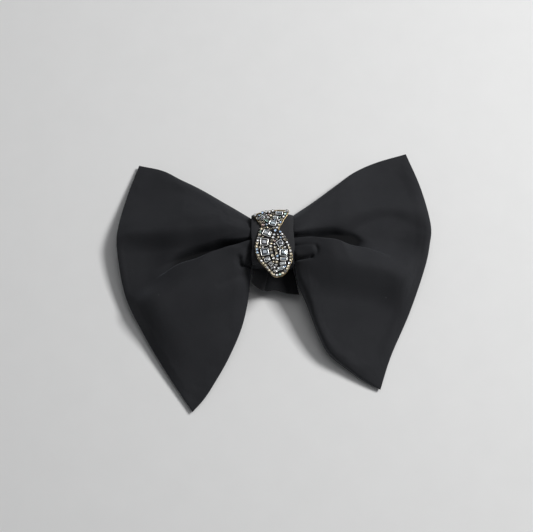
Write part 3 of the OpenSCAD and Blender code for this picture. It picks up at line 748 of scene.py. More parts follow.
def fix_normals(o):
    """Turns a closed mesh so its faces look outwards."""
    me = o.data
    me.calc_loop_triangles()
    tri = np.zeros(len(me.loop_triangles) * 3, int)
    me.loop_triangles.foreach_get("vertices", tri)
    co = np.zeros(len(me.vertices) * 3)
    me.vertices.foreach_get("co", co)
    co = co.reshape(-1, 3)
    co = co - co.mean(0)
    a, b, c = (co[tri.reshape(-1, 3)[:, k]] for k in range(3))
    if (a * np.cross(b, c)).sum() < 0:
        me.flip_normals()


knot, girth = ring_band("knot_wrap", 10.7, 13.1, 11.0, 15.0, 1.2, 4.6, m_painted_light_knot, crown=0.45, wrinkle=0.16, seed=31)
for vert in knot.data.vertices:
    vert.co.y += 0.5 * MM
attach(knot, "bow")
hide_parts("knot_band")

# gathered middle of the bow inside the knot, with its pleats
na, nx = 180, 26
aa = np.linspace(0, 2 * PI, na + 1)[:-1]
xx = np.linspace(-10.7, 10.7, nx)
AA, XX = np.meshgrid(aa, xx, indexing="ij")
y, z = loop_profile(AA, 10.1, 7.9, 2.8)
pinch = 1 - 0.16 * np.exp(-((XX / 4.0) ** 2))
pl = 1 - 0.05 * np.abs(np.sin(AA * 11 + 0.6 * np.sin(XX * 0.25)))
A = np.stack([XX, y * pinch * pl, z * pinch * pl + 16.1], 2).reshape(-1, 3)
Fg = grid_faces(na, nx, wrap_m=True)
c0, c1 = len(A), len(A) + 1
A = np.concatenate([A, [[-10.7, 0, 16.1], [10.7, 0, 16.1]]])
for i in range(na):
    Fg.append([c0, i * nx, ((i + 1) % na) * nx][::-1])
    Fg.append([c1, ((i + 1) % na) * nx + nx - 1, i * nx + nx - 1][::-1])
uv = np.concatenate([np.stack([XX, AA * 9], 2).reshape(-1, 2), [[0, 0], [0, 0]]])
core = make("bow_gathers", A + K, Fg, m_back, uv)
fix_normals(core)
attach(core, "bow")
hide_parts("centre_stay")


def tube(name, pts, r, mat, n=10, closed=False, cap=True):
    """Round thread or wire along pts (mm)."""
    P = np.asarray(pts, float)
    m_ = len(P)
    T = np.gradient(P, axis=0) if not closed else (np.roll(P, -1, 0) - np.roll(P, 1, 0))
    T /= np.linalg.norm(T, axis=1, keepdims=True) + 1e-12
    ref = np.array([0.0, 0.0, 1.0]) if abs(T[0, 2]) < 0.9 else np.array([1.0, 0, 0])
    N = []
    v = ref - T[0] * (ref @ T[0])
    v /= np.linalg.norm(v)
    for k in range(m_):
        v = v - T[k] * (v @ T[k])
        v /= np.linalg.norm(v)
        N.append(v)
    N = np.array(N)
    B = np.cross(T, N)
    rr = np.full(m_, r) if np.isscalar(r) else np.asarray(r, float)
    a = np.linspace(0, 2 * PI, n + 1)[:-1]
    V = P[:, None] + rr[:, None, None] * (np.cos(a)[None, :, None] * N[:, None] + np.sin(a)[None, :, None] * B[:, None])
    L = np.concatenate([[0], np.cumsum(np.linalg.norm(np.diff(P, axis=0), axis=1))])
    uv = np.stack([np.repeat(L[:, None], n, 1), np.repeat((a * r if np.isscalar(r) else a * rr.max())[None], m_, 0)], 2)
    F = grid_faces(m_, n, wrap_m=closed, wrap_n=True)
    V, uv = V.reshape(-1, 3), uv.reshape(-1, 2)
    if cap and not closed:
        F.append(list(range(n))[::-1])
        F.append([(m_ - 1) * n + k for k in range(n)])
    return V, F, uv


def join(parts):
    V, F, U = [], [], []
    base = 0
    for v, f, u in parts:
        V.append(v)
        F += [[base + k for k in q] for q in f]
        U.append(u)
        base += len(v)
    return np.concatenate(V), F, np.concatenate(U)


# thread that gathers the middle
parts = []
rng = np.random.RandomState(5)
turns = 9
tt = np.linspace(0, turns * 2 * PI, turns * 60)
y, z = loop_profile(tt % (2 * PI), 10.3, 8.15, 2.8)
sq = 1 - 0.12 * np.exp(-((np.linspace(-1.6, 1.6, len(tt)) / 4.0) ** 2))
wind = np.stack([np.linspace(-1.6, 1.6, len(tt)) + 0.1 * np.sin(tt * 3.1), y * sq, z * sq + 16.1], 1)
v, f, u = tube("w", wind, 0.2, None, n=8)
o = make("gather_thread", v + K, f, m_thread, u)
fix_normals(o)
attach(o, "bow")
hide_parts("waist_binding")

# inner stiffener of the knot, a felt strip in its back
gx, gy = np.meshgrid(np.linspace(-9.0, 9.0, 30), np.linspace(-7.4, 7.4, 26), indexing="ij")
gz = 5.55 + 0.05 * noise(gx, gy, 3, 8)
o = make("knot_stiffening", np.stack([gx, gy, gz], 2).reshape(-1, 3) + K, grid_faces(30, 26), m_lining, np.stack([gx, gy], 2).reshape(-1, 2))
solid_sheet(o, 0.4)
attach(o, "bow")
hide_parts("knot_interlining")

# whip stitches that close the knot at the back
parts = []
for i in range(-4, 5):
    x0 = i * 2.1
    a = np.linspace(0, PI, 13)
    p = np.stack([x0 + 0.55 * np.cos(a) * 0.6, -1.7 * np.cos(a), 4.15 - 0.42 * np.sin(a) + 0.25], 1)
    parts.append(tube("s", p, 0.2, None, n=8))
v, f, u = join(parts)
o = make("knot_whip_stitches", v + K, f, m_thread, u)
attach(o, "bow")
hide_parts("knot_stitches")

# fold of cloth hanging out below the knot
nu_, nv_ = 90, 46
top = [[-10.2, -11.6], [-5, -11.6], [0, -11.6], [5, -11.6], [10.2, -11.6]]
bot = [[-10.6, -20.0], [-8, -22.2], [-5.4, -23.9], [-2.4, -23.3], [0.6, -22.9], [3.8, -23.6], [7, -24.6], [10.3, -25.2], [13.4, -25.4]]
bot = [list(p) for p in cr(bot, np.linspace(0, 1, 9))]
s_, t_ = np.meshgrid(np.linspace(0, 1, nu_), np.linspace(0, 1, nv_), indexing="ij")
Tp, Bp = cr(top, s_), cr(bot, s_)
G = Tp * (1 - t_[..., None]) + Bp * t_[..., None]
x_, y_ = G[..., 0], G[..., 1]
crest = -5.0 + 3.2 * (1 - t_)
d_ = x_ - crest
zz = 12.2 - 1.2 * t_
zz = zz - 1.0 * smooth(-d_, 0, 5.5) * t_ - 4.6 * smooth(d_, 0.1, 3.0) * (0.5 + 0.5 * t_) + 1.6 * smooth(d_, 8.0, 15.0) * t_
zz = zz + 0.16 * noise(x_, y_, 4.0, 91) - 0.5 * np.exp(-((d_ / 0.8) ** 2)) * 0
zz = np.maximum(zz, 7.9)
# left of the crease the fold takes the lighter copy of the cloth: painted light
o = make("bow_lower_fold", np.stack([x_, y_, zz], 2).reshape(-1, 3) + K, grid_faces(nu_, nv_), m_painted_light_fold_left, G.reshape(-1, 2) + 90)
# right of the crease the cloth takes a much darker copy of its colour: painted shade under the knot and brooch
o.data.materials.append(m_painted_shade_fold_right)
for p in o.data.polygons:
    if d_.ravel()[p.vertices[0]] > 0.4:
        p.material_index = 1
o.data.flip_normals() if o.data.polygons[0].normal.z < 0 else None
solid_sheet(o, 0.7)
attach(o, "bow")
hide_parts("centre_drape")

# ------------------------------------------------------------------ brooch
outline = [[-10, 11.1], [-7.8, 12.1], [-4.9, 12.9], [-2.7, 13.4], [2, 13.9], [5, 13.9], [8.2, 13.7], [8.2, 12.2], [7.2, 10],
           [6, 8.3], [4.9, 6.2], [3.8, 4.4], [3.5, 3.2], [5.1, 1.5], [6.3, -0.4], [7.5, -2.8], [8.7, -5.4], [9.6, -8], [10.1, -10.8], [9.8, -13.5],
           [8.9, -15.7], [7.9, -17.7], [6.8, -19.4], [5.4, -20.7], [3.8, -21.3], [2, -21.6], [0.3, -21.3], [-1, -20.3], [-2.3, -18.8], [-3.9, -17],
           [-5.5, -15.4], [-6.8, -13.8], [-7.9, -11.8], [-8.8, -9], [-9.2, -6.3], [-8.8, -3.2], [-8, -1], [-7.3, 1.2], [-6.7, 3.4],
           [-5.9, 4.9], [-7, 6.4], [-8.4, 8.4]]
rows = [
    ([[-9, 10.7], [-7.6, 9], [-6.3, 7], [-5, 5.4]], 4),
    ([[-5.2, 12], [-3.2, 12.5], [-1.4, 12.3], [0.1, 12.9]], 4),
    ([[7.1, 12.8], [6.1, 10.7], [4.9, 9], [4.1, 7.2], [3.1, 5.4], [2.1, 3.9], [1.2, 2.6]], 8),
    ([[-0.9, 10.4], [-2.3, 9.5], [-2.9, 7.7]], 3),
    ([[-5.7, 3.3], [-6.5, 1], [-7, -1], [-7.8, -3.2], [-8.2, -6], [-7.8, -8.9], [-6.9, -11.6], [-5.6, -13.7], [-3.8, -15.5], [-2.4, -17.3], [-1.2, -19], [0.4, -20.3]], 18),
    ([[3.7, 1.8], [4.9, 0.1], [6.2, -2], [7.2, -4], [8.2, -6.4], [8.9, -8.8], [9.1, -11.2], [8.8, -13.4], [8, -15.4], [7, -17.3], [5.8, -19.1], [3.9, -20.2], [1.9, -20.6]], 18),
    ([[0.6, 0.3], [0.1, -1.4], [-0.8, -3.3], [-1.2, -5.6], [-1, -8.2], [-0.4, -10.2], [0.3, -12]], 9),
    ([[1, -6.4], [1.6, -8.6], [2.1, -10.8], [2.1, -13], [1.7, -15], [0.7, -16.7]], 8)]
big_stones = [[0, 6.4, 3.5, 2.8, -15], [-3, 1, 4.2, 2.9, -22], [-5, 9.4, 2.3, 2, 38], [3.2, 11.7, 3.6, 1.9, -8], [1.4, 9.4, 2.6, 1.7, -12],
              [-4.3, -3.5, 3.9, 3.7, -3], [-4.1, -8.7, 4, 3.8, 8], [-2.9, -12.7, 2.9, 2.2, 28], [-1.1, -15, 2, 2, 40],
              [3.6, -4.2, 3.2, 3.2, 33], [5.3, -9, 3.7, 3.4, -2], [5.4, -12.4, 3.4, 2, 6], [4.9, -14.8, 3, 1.5, 12], [3.9, -17.2, 3.2, 1.7, 16], [1.1, -18.6, 1.8, 1.2, -10]]


def sag(P):
    """The plate curves a little over the knot."""
    P = np.array(P, float)
    P[..., 2] -= 0.0014 * P[..., 1] ** 2 + 0.004 * P[..., 0] ** 2
    P[..., 1] += 0.45
    return P


def closed_curve(P, n):
    P = np.array(P, float)
    m_ = len(P)
    t = np.linspace(0, m_, n + 1)[:-1]
    i = np.floor(t).astype(int)
    f = (t - i)[:, None]
    p0, p1, p2, p3 = P[(i - 1) % m_], P[i % m_], P[(i + 1) % m_], P[(i + 2) % m_]
    return 0.5 * (2 * p1 + (p2 - p0) * f + (2 * p0 - 5 * p1 + 4 * p2 - p3) * f**2 + (3 * p1 - 3 * p2 + p3 - p0) * f**3)


ring = closed_curve(outline, 252)
area2 = (ring[:, 0] * np.roll(ring[:, 1], -1) - np.roll(ring[:, 0], -1) * ring[:, 1]).sum()
tan = np.roll(ring, -1, 0) - np.roll(ring, 1, 0)
tan /= np.linalg.norm(tan, axis=1, keepdims=True)
nor = np.stack([tan[:, 1], -tan[:, 0]], 1) * (1 if area2 > 0 else -1)
ring = ring - nor * 0.2
# section of the rim from the back face round to the inner lip
prof = [(-0.55, 26.1), (-0.12, 26.08), (0.02, 26.2), (0.06, 26.6), (0.02, 27.0), (-0.1, 27.16), (-0.26, 27.2), (-0.42, 27.12), (-0.5, 26.98)]
rim = np.array([[*(ring[i] + nor[i] * a), z] for i in range(len(ring)) for a, z in prof])
n_r, n_p = len(ring), len(prof)
F = grid_faces(n_r, n_p, wrap_m=True)
V = list(rim)
top_i, low_i = len(V), len(V) + 1
# closed by the pave ground on top and the back plate below
Fr = F
back_ring = [i * n_p for i in range(n_r)]
o = make("brooch_gold_rim", sag(V) + K, Fr + [back_ring], m_gold, np.array(V)[:, :2])
bpy.context.view_layer.update()
fix_normals(o)
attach(o, "bow")
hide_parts("brooch_base")

# ground between the stones: filled disc with a fine hammered grain
import bmesh
bm = bmesh.new()
g = ring + nor * -0.4
vs = [bm.verts.new(Vector(sag([[p[0], p[1], 27.0]])[0] + K) * MM) for p in g]
fc = bm.faces.new(vs)
bmesh.ops.triangulate(bm, faces=[fc])
bmesh.ops.recalc_face_normals(bm, faces=bm.faces)
me = bpy.data.meshes.new("brooch_pave_ground")
bm.to_mesh(me)
bm.free()
me.materials.append(m_pave)
o = bpy.data.objects.new("brooch_pave_ground", me)
scene.collection.objects.link(o)
o.data.flip_normals() if o.data.polygons[0].normal.z < 0 else None
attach(o, "bow")


def walk(P, s):
    for i in range(len(P) - 1):
        a, b = np.array(P[i], float), np.array(P[i + 1], float)
        d = np.linalg.norm(b - a)
        if s <= d:
            return a + (b - a) * s / d
        s -= d
    return np.array(P[-1], float)


beads = []
for r_i, (P_, n_) in enumerate(rows):
    T_ = sum(np.linalg.norm(np.array(P_[i + 1]) - np.array(P_[i])) for i in range(len(P_) - 1))
    for k in range(n_):
        beads.append((r_i, k, n_, *walk(P_, T_ * k / (n_ - 1))))

rng = np.random.RandomState(42)
cup_parts, stone_v, stone_f, stone_c, stone_u = [], [], [], [], []


def tilt_matrix(amount):
    ax, ay = rng.uniform(-amount, amount, 2)
    return np.array(Matrix.Rotation(ax, 3, "X") @ Matrix.Rotation(ay, 3, "Y") @ Matrix.Rotation(rng.uniform(0, PI), 3, "Z"))


def brilliant(r, h_crown, h_pav):
    """Round cut stone: table, star and kite facets, girdle, pavilion point."""
    V, F = [], []
    n = 8
    for k in range(n):
        a = 2 * PI * (k + 0.5) / n
        V.append((0.54 * r * math.cos(a), 0.54 * r * math.sin(a), h_crown))
    for k in range(n):
        a = 2 * PI * k / n
        V.append((0.8 * r * math.cos(a), 0.8 * r * math.sin(a), h_crown * 0.58))
    for k in range(16):
        a = 2 * PI * (k + 0.5) / 16
        V.append((r * math.cos(a), r * math.sin(a), 0))
    V.append((0, 0, -h_pav))
    F.append(list(range(n)))
    for k in range(n):
        F.append([k, n + (k + 1) % n, (k + 1) % n][::-1])
        F.append([k, n + k, 2 * n + 2 * k % 16, n + (k + 1) % n][::1] if False else [k, n + k, 2 * n + (2 * k) % 16])
        F.append([k, 2 * n + (2 * k) % 16, 2 * n + (2 * k + 1) % 16])
        F.append([k, 2 * n + (2 * k + 1) % 16, n + (k + 1) % n])
        F.append([n + k, 2 * n + (2 * k - 1) % 16, 2 * n + (2 * k) % 16])
    for k in range(16):
        F.append([2 * n + k, 32, 2 * n + (k + 1) % 16])
    return np.array(V, float), F


def cup(r, h, n=20):
    """Small open cup: outer wall, rolled lip, inner bowl."""
    prof_ = [(r * 0.86, 0), (r * 0.98, h * 0.5), (r, h * 0.85), (r * 0.97, h), (r * 0.86, h * 1.03), (r * 0.76, h * 0.9), (r * 0.6, h * 0.55)]
    V = [(a * math.cos(2 * PI * k / n), a * math.sin(2 * PI * k / n), z_) for k in range(n) for a, z_ in prof_]
    F = grid_faces(n, len(prof_), wrap_m=True)
    return np.array(V, float), F


def add_stone(V, F, col, at):
    base = sum(len(q) for q in stone_v)
    stone_v.append(V + at)
    stone_f.extend([[base + k for k in f] for f in F])
    col = np.array(col)
    stone_c.append(col if col.ndim == 2 else np.repeat(col[None], len(V), 0))


def bead_tint(r_i, k, n_, x, y):
    c = np.array([0.93, 0.94, 0.97])
    t = rng.rand()
    if t < 0.30:
        c = np.array([0.95, 0.84, 0.62])  # champagne
    elif t < 0.42:
        c = np.array([0.50, 0.70, 1.00])  # blue fire
    elif t < 0.49:
        c = np.array([0.95, 0.68, 0.66])  # rose fire
    elif t < 0.57:
        c = np.array([0.62, 0.90, 0.80])  # green fire
    if x < -3 and y < -8 and rng.rand() < 0.55:
        c = np.array([0.95, 0.83, 0.58])
    return np.minimum(c * rng.uniform(0.88, 1.08), 1.0)


for r_i, k, n_, x, y in beads:
    r_b = 0.81 if (r_i, k) != (2, 0) else 0.95
    at = sag([[x, y, 27.02]])[0]
    cv_, cf_ = cup(r_b, 0.8)
    cup_parts.append((cv_ + at, cf_, cv_[:, :2]))
    sv_, sf_ = brilliant(r_b * 0.86, 0.36, 0.5)
    sv_ = sv_ @ tilt_matrix(0.15).T
    add_stone(sv_, sf_, bead_tint(r_i, k, n_, x, y), at + np.array([0, 0, 0.74]))
# small melee stones in the gaps the rows and the step-cut stones leave
fill = []
for gy in np.arange(ring[:, 1].min(), ring[:, 1].max(), 0.14):
    for gx in np.arange(ring[:, 0].min(), ring[:, 0].max(), 0.14):
        x, y = gx + 0.07 * math.sin(gy * 9), gy
        nx_, ny_ = np.roll(ring[:, 0], -1), np.roll(ring[:, 1], -1)
        cross = (ring[:, 1] > y) != (ny_ > y)
        xi = ring[:, 0] + (y - ring[:, 1]) / np.where(cross, ny_ - ring[:, 1], 1) * (nx_ - ring[:, 0])
        if np.count_nonzero(cross & (xi > x)) % 2 == 0:
            continue
        room = np.hypot(ring[:, 0] - x, ring[:, 1] - y).min() - 0.55
        room = min(room, min(math.hypot(b[3] - x, b[4] - y) for b in beads) - 0.83)
        for bx, by, w_, h_, turn in big_stones:
            ca, sa = math.cos(math.radians(turn)), math.sin(math.radians(turn))
            lx, ly = (x - bx) * ca + (y - by) * sa, -(x - bx) * sa + (y - by) * ca
            qx, qy = abs(lx) - w_ / 2, abs(ly) - h_ / 2
            room = min(room, math.hypot(max(qx, 0), max(qy, 0)) + min(max(qx, qy), 0) - 0.1)
        if room > (0.36 if y > 5 else 0.64):
            fill.append((room, x, y))
kept = []
for room, x, y in sorted(fill, reverse=True):
    r_f = min(room, 0.62)
    if all(math.hypot(x - a, y - b) > r_f + c + 0.03 for a, b, c in kept):
        kept.append((x, y, r_f))
state = rng.get_state()
for x, y, r_f in kept:
    at = sag([[x, y, 27.02]])[0]
    cv_, cf_ = cup(r_f, 0.5, 14)
    cup_parts.append((cv_ + at, cf_, cv_[:, :2]))
    sv_, sf_ = brilliant(r_f * 0.88, 0.26, 0.4)
    add_stone(sv_ @ tilt_matrix(0.2).T, sf_, bead_tint(9, 0, 1, x, y) * 0.92, at + np.array([0, 0, 0.48]))
rng.set_state(state)
v, f, u = join(cup_parts)
o = make("brooch_cup_settings", v + K, f, m_cup, u)
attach(o, "bow")
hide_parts("brooch_cups")
# little prongs between neighbouring stones of a row
parts = []
for i in range(len(beads) - 1):
    if beads[i][0] != beads[i + 1][0]:
        continue
    a, b = np.array(beads[i][3:5]), np.array(beads[i + 1][3:5])
    d = (b - a) / (np.linalg.norm(b - a) + 1e-9)
    nrm = np.array([-d[1], d[0]])
    for sgn in (-1, 1):
        c = (a + b) / 2 + nrm * 0.42 * sgn
        p0 = sag([[c[0], c[1], 27.3]])[0]
        pts = [p0 + np.array([0, 0, 0.0]), p0 + np.array([0, 0, 0.4]), p0 + np.array([0, 0, 0.56]), p0 + np.array([0, 0, 0.63])]
        parts.append(tube("p", pts, [0.16, 0.16, 0.12, 0.04], None, n=8))
v, f, u = join(parts)
o = make("brooch_small_prongs", v + K, f, m_cup, u)
fix_normals(o)
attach(o, "bow")

o = make("brooch_round_crystals", np.concatenate(stone_v) + K, stone_f, m_round, None, flat=True, attr=np.concatenate(stone_c))
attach(o, "bow")
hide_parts("brooch_round_stones")

# step-cut stones in open frames with corner claws
stone_v, stone_f, stone_c = [], [], []
frames, claws = [], []
big_tint = [(0.50, 0.60, 0.66), (0.55, 0.58, 0.60), (0.10, 0.12, 0.17), (0.26, 0.32, 0.36), (0.45, 0.50, 0.50),
            (0.42, 0.44, 0.48), (0.34, 0.40, 0.46), (0.36, 0.38, 0.40), (0.30, 0.31, 0.33),
            (0.14, 0.15, 0.18), (0.36, 0.42, 0.46), (0.22, 0.28, 0.34), (0.62, 0.66, 0.66), (0.30, 0.36, 0.40), (0.70, 0.72, 0.70)]
for bi, (x, y, w_, h_, turn) in enumerate(big_stones):
    R = np.array(Matrix.Rotation(math.radians(turn), 3, "Z"))
    at = sag([[x, y, 27.0]])[0]
    a_, b_ = w_ / 2 - 0.12, h_ / 2 - 0.12
    steps = [(1.0, 0.75), (0.98, 0.92), (0.80, 1.28), (0.62, 1.48), (0.42, 1.58)]
    c_ = 0.16
    V, F = [], []
    ch = min(a_, b_) * 0.22
    for s_k, z_k in steps:
        A_, B_ = a_ - (1 - s_k) * min(a_, b_), b_ - (1 - s_k) * min(a_, b_)
        q = ch * s_k
        for px, py in ((A_ - q, -B_), (A_, -B_ + q), (A_, B_ - q), (A_ - q, B_), (-A_ + q, B_), (-A_, B_ - q), (-A_, -B_ + q), (-A_ + q, -B_)):
            V.append((px, py, z_k))
    for s_i in range(len(steps) - 1):
        for k in range(8):
            a0, a1 = s_i * 8 + k, s_i * 8 + (k + 1) % 8
            F.append([a0, a1, a1 + 8, a0 + 8])
    F.append([len(V) - 8 + k for k in range(8)])
    n0 = len(V)
    V.append((0, 0, 0.2))
    for k in range(8):
        F.append([n0, (k + 1) % 8, k])
    V = np.array(V, float)
    Rt = np.array(Matrix.Rotation(rng.uniform(-0.07, 0.07), 3, "X") @ Matrix.Rotation(rng.uniform(-0.07, 0.07), 3, "Y"))
    V = V @ Rt.T @ R.T
    # painted highlight: the two outer steps of each stone take the bright colour lit, the next step half of it; the
    # inner steps and the table keep the darker tint
    tint = np.array(big_tint[bi]) * 0.6
    lit = np.array([[0.82, 0.92, 1.00], [0.84, 0.95, 0.93], [0.96, 0.93, 0.86]][bi % 3])
    add_stone(V, F, np.array([lit] * 16 + [0.55 * lit + 0.45 * tint] * 8 + [tint] * 16 + [tint]), at)
    # frame: rounded wall round the stone
    pr = [(0.02, 0.0), (0.08, 0.5), (0.08, 0.9), (0.02, 1.04), (-0.10, 1.1), (-0.24, 1.04), (-0.30, 0.9), (-0.30, 0.4)]
    ex, ey = w_ / 2, h_ / 2
    path = []
    rc = 0.3
    for cx_, cy_, a0 in ((ex - rc, ey - rc, 0), (-ex + rc, ey - rc, 90), (-ex + rc, -ey + rc, 180), (ex - rc, -ey + rc, 270)):
        for k in range(5):
            a = math.radians(a0 + 90 * k / 4)
            path.append((cx_, cy_, math.cos(a), math.sin(a)))
    V = np.array([(cx_ + (rc + o_) * ca, cy_ + (rc + o_) * sa, z_) for cx_, cy_, ca, sa in path for o_, z_ in pr], float)
    frames.append((V @ R.T + at, grid_faces(len(path), len(pr), wrap_m=True), V[:, :2]))
    for sx_ in (-1, 1):
        for sy_ in (-1, 1):
            c = np.array([sx_ * (w_ / 2 - 0.06), sy_ * (h_ / 2 - 0.06)])
            inw = -np.array([sx_, sy_]) / math.sqrt(2)
            pts = [(*(c), 0.0), (*(c), 0.8), (*(c + inw * 0.04), 1.2), (*(c + inw * 0.16), 1.45), (*(c + inw * 0.34), 1.5)]
            P_ = np.array(pts) @ R.T + at
            claws.append(tube("c", P_, [0.17, 0.17, 0.17, 0.15, 0.07], None, n=10))
o = make("brooch_step_crystals", np.concatenate(stone_v) + K, stone_f, m_cut, None, flat=True, attr=np.concatenate(stone_c))
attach(o, "bow")
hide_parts("brooch_baguettes")
v, f, u = join(frames)
o = make("brooch_stone_frames", v + K, f, m_frame, u)
fix_normals(o)
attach(o, "bow")
v, f, u = join(claws)
o = make("brooch_corner_claws", v + K, f, m_frame, u)
fix_normals(o)
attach(o, "bow")
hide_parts("brooch_claws")

# thread loops that sew the brooch on
parts = []
for x, y in [[-3.3, 5.8], [2.6, 6.6], [-6.7, -6.3], [6.1, -6.1], [2.7, -0.9]]:
    a = np.linspace(0, PI, 15)
    p = np.stack([x + 0.34 * np.cos(a), y + 0 * a, 26.0 + 1.25 * np.sin(a) ** 0.6], 1)
    parts.append(tube("t", sag(p), 0.13, None, n=8))
v, f, u = join(parts)
o = make("brooch_sewing_thread", v + K, f, m_thread, u)
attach(o, "bow")
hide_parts("brooch_stitches")


# ------------------------------------------------------------- neck strap
def ribbon(name, path, t, w=18.0, mat=None, wave=0.0, seed=1, side=1, u0=0.0):
    """Flat webbing along path (x, z in mm about the knot), its width along Y.
    Rounded selvedges, a slightly proud edge cord, faint waves along it."""
    P = np.array(path, float)
    seg = np.linalg.norm(np.diff(P, axis=0), axis=1)
    L = np.concatenate([[0], np.cumsum(seg)])
    T = np.gradient(P, L, axis=0)
    T /= np.linalg.norm(T, axis=1, keepdims=True)
    N = np.stack([-T[:, 1], T[:, 0]], 1)
    ys = w / 2 * np.sin(np.linspace(-PI / 2, PI / 2, 25)) ** 1
    ys = np.concatenate([np.linspace(-w / 2, -w / 2 + 0.6, 4)[:-1], np.linspace(-w / 2 + 0.6, w / 2 - 0.6, 21), np.linspace(w / 2 - 0.6, w / 2, 4)[1:]])
    hh = []
    for yv in ys:
        e = w / 2 - abs(yv)
        hh.append(t / 2 * (math.sqrt(max(0.0, 1 - (1 - min(1, e / 0.5)) ** 2)) * 0.9 + 0.0) + 0.02)
    hh = np.array(hh)
    hh = hh + 0.05 * np.exp(-(((w / 2 - np.abs(ys)) - 0.7) / 0.35) ** 2)
    hh = np.minimum(hh, t / 2)
    Y = np.concatenate([ys, ys[::-1]])
    H = np.concatenate([hh, -hh[::-1]])
    n_s = len(Y)
    m_ = len(P)
    wv = wave * noise(L, L * 0 + 3.0, 13.0, seed) if wave else np.zeros(m_)
    V = np.zeros((m_, n_s, 3))
    V[..., 0] = side * (P[:, 0][:, None] + N[:, 0][:, None] * H[None])
    V[..., 1] = Y[None] + (0.12 * noise(L, L * 0, 9.0, seed + 1))[:, None]
    V[..., 2] = P[:, 1][:, None] + N[:, 1][:, None] * H[None] + wv[:, None]
    uv = np.stack([np.repeat((L + u0)[:, None], n_s, 1), np.repeat(Y[None], m_, 0)], 2)
    F = grid_faces(m_, n_s, wrap_n=True)
    F.append(list(range(n_s))[::-1])
    F.append([(m_ - 1) * n_s + k for k in range(n_s)])
    o = make(name, V.reshape(-1, 3) + K, F, mat or m_strap, uv.reshape(-1, 2))
    fix_normals(o)
    return o, L[-1]


def straight(x0, x1, z, step=1.0):
    n = max(2, int(abs(x1 - x0) / step) + 1)
    return [(x, z) for x in np.linspace(x0, x1, n)]


def arc(cx, cz, r, a0, a1, n=17):
    return [(cx + r * math.cos(a), cz + r * math.sin(a)) for a in np.radians(np.linspace(a0, a1, n))]


def dedupe(P):
    out = [P[0]]
    for p in P[1:]:
        if math.hypot(p[0] - out[-1][0], p[1] - out[-1][1]) > 0.02:
            out.append(p)
    return out


CUT = 41.45
for side, word in ((1, "right"), (-1, "left")):
    zt = Vector((0, 0, 0))
    # from the middle of the bow, round the outer fold and half way back
    pA = dedupe(straight(0, 68, 6.7) + arc(68, 5.9, 0.8, 90, -90) + straight(68, CUT, 5.1))
    A_o, LA = ribbon("strap_back_" + word, pA, 1.0, wave=0.0, seed=51, side=side)
    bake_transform(A_o)
    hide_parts(*(("strap_centre", "strap_right_fold_outer") if side > 0 else ("strap_left_fold_outer",)))
    pB = dedupe(straight(CUT, 13.5, 5.1) + arc(13.5, 3.9, 1.2, 90, 270) + straight(13.5, 58.6, 2.7))
    # round the bar
    pB = dedupe(pB + arc(58.6, 1.9, 0.9, 90, -90) if side > 0 else pB + arc(58.6, 1.9, 0.9, 90, -90))
    pB = pB[:-1]
    B_o, LB = ribbon("strap_run_" + word, pB, 0.86, wave=0.0, seed=61, side=side, u0=LA)
    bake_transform(B_o)
    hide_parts("strap_%s_mid" % word, "strap_%s_fold_inner" % word, "strap_%s_end" % word)

# right: the tail runs back from the bar to the slider
pT = dedupe(straight(58.6, 30.9, 1.0))
T_o, LT = ribbon("strap_tail_right", pT, 0.8, seed=71)
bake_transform(T_o)
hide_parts("strap_right_tail")
# loop of the tail round the middle bar of the slider
pS = dedupe(arc(30, 1.0, 0.65, -80, 260, 25))
S_o, LS = ribbon("slider_webbing_loop", pS, 0.5, seed=73)
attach(S_o, "slider")
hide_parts("slider_loop")
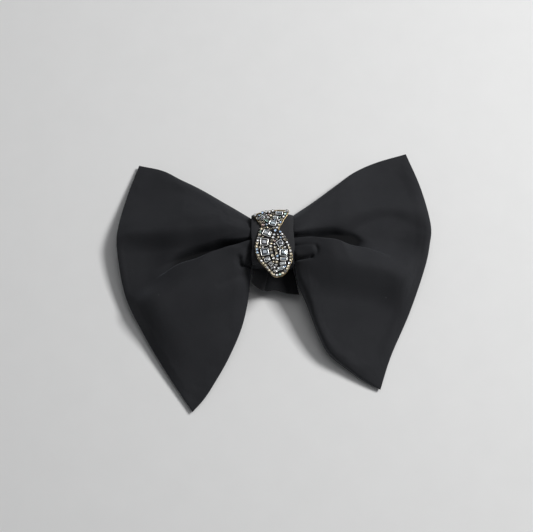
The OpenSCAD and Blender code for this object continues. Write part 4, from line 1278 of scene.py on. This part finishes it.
# left: the end turns back and is tacked
pR = dedupe(straight(58.6, 44.6, 1.0))
R_o, LR = ribbon("strap_return_left", pR, 0.8, seed=75, side=-1)
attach(R_o, "strap_left_tip")
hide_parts("strap_left_return")
parts = []
for k in range(7):
    yk = -7.2 + 2.4 * k
    a = np.linspace(0, PI, 9)
    p = np.stack([-45.6 - 0.9 * np.cos(a), np.full(9, yk) + 0.25 * np.cos(a), 0.62 - 0.0 * a - 0.18 * np.sin(a)], 1)
    parts.append(tube("t", p, 0.13, None, n=8))
    p = np.stack([-45.6 - 0.1 * np.cos(a), np.full(9, yk), 1.45 + 0.7 * a / PI], 1)
    parts.append(tube("t", p, 0.13, None, n=8))
v, f, u = join(parts)
o = make("strap_tack_stitches", v + K, f, m_thread, u)
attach(o, "strap_left_tip")
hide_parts("strap_left_tack")

for n in ("slider", "hook", "eye"):
    o = nodes[n]
    o.data.materials.clear()
    o.data.materials.append(m_metal)

# ------------------------------------------------------------ floor, light
fm, nt, b = new_mat("floor_paper")
ob = object_coords(nt)
n1 = tex_noise(nt, ob, 60, 5)
nt.links.new(mix_col(nt, n1, (0.80, 0.80, 0.795), (0.84, 0.84, 0.835)), b.inputs["Base Color"])
b.inputs["Roughness"].default_value = 0.7
b.inputs["Specular IOR Level"].default_value = 0.15
gx, gy = np.meshgrid(np.linspace(-900, 900, 19), np.linspace(-900, 900, 19), indexing="ij")
floor = make("stand", np.stack([gx, gy, gx * 0 - 0.02], 2).reshape(-1, 3), grid_faces(19, 19), fm, np.stack([gx, gy], 2).reshape(-1, 2))
floor.data.flip_normals() if floor.data.polygons[0].normal.z < 0 else None


def area_light(name, at, target, size, power, size_y=None, col=(1, 1, 1)):
    d = bpy.data.lights.new(name, "AREA")
    d.energy = power
    d.color = col
    d.size = size
    if size_y:
        d.shape = "RECTANGLE"
        d.size_y = size_y
    o = bpy.data.objects.new(name, d)
    scene.collection.objects.link(o)
    o.location = Vector(at)
    o.rotation_euler = (Vector(target) - Vector(at)).to_track_quat("-Z", "Y").to_euler()
    return o


area_light("key", (0.66, 0.32, 0.92), (0, 0.0, 0), 0.36, 10.6, 0.28)
area_light("top", (0.15, 0.26, 1.2), (0, 0, 0), 0.9, 2.4, 0.6)
area_light("front_fill", (-0.5, -0.9, 0.9), (0, 0, 0), 0.5, 0.12, 0.5)
world = bpy.data.worlds.new("studio")
scene.world = world
world.use_nodes = True
bg = world.node_tree.nodes["Background"]
bg.inputs["Color"].default_value = (0.92, 0.95, 1.0, 1)
bg.inputs["Strength"].default_value = 0.09
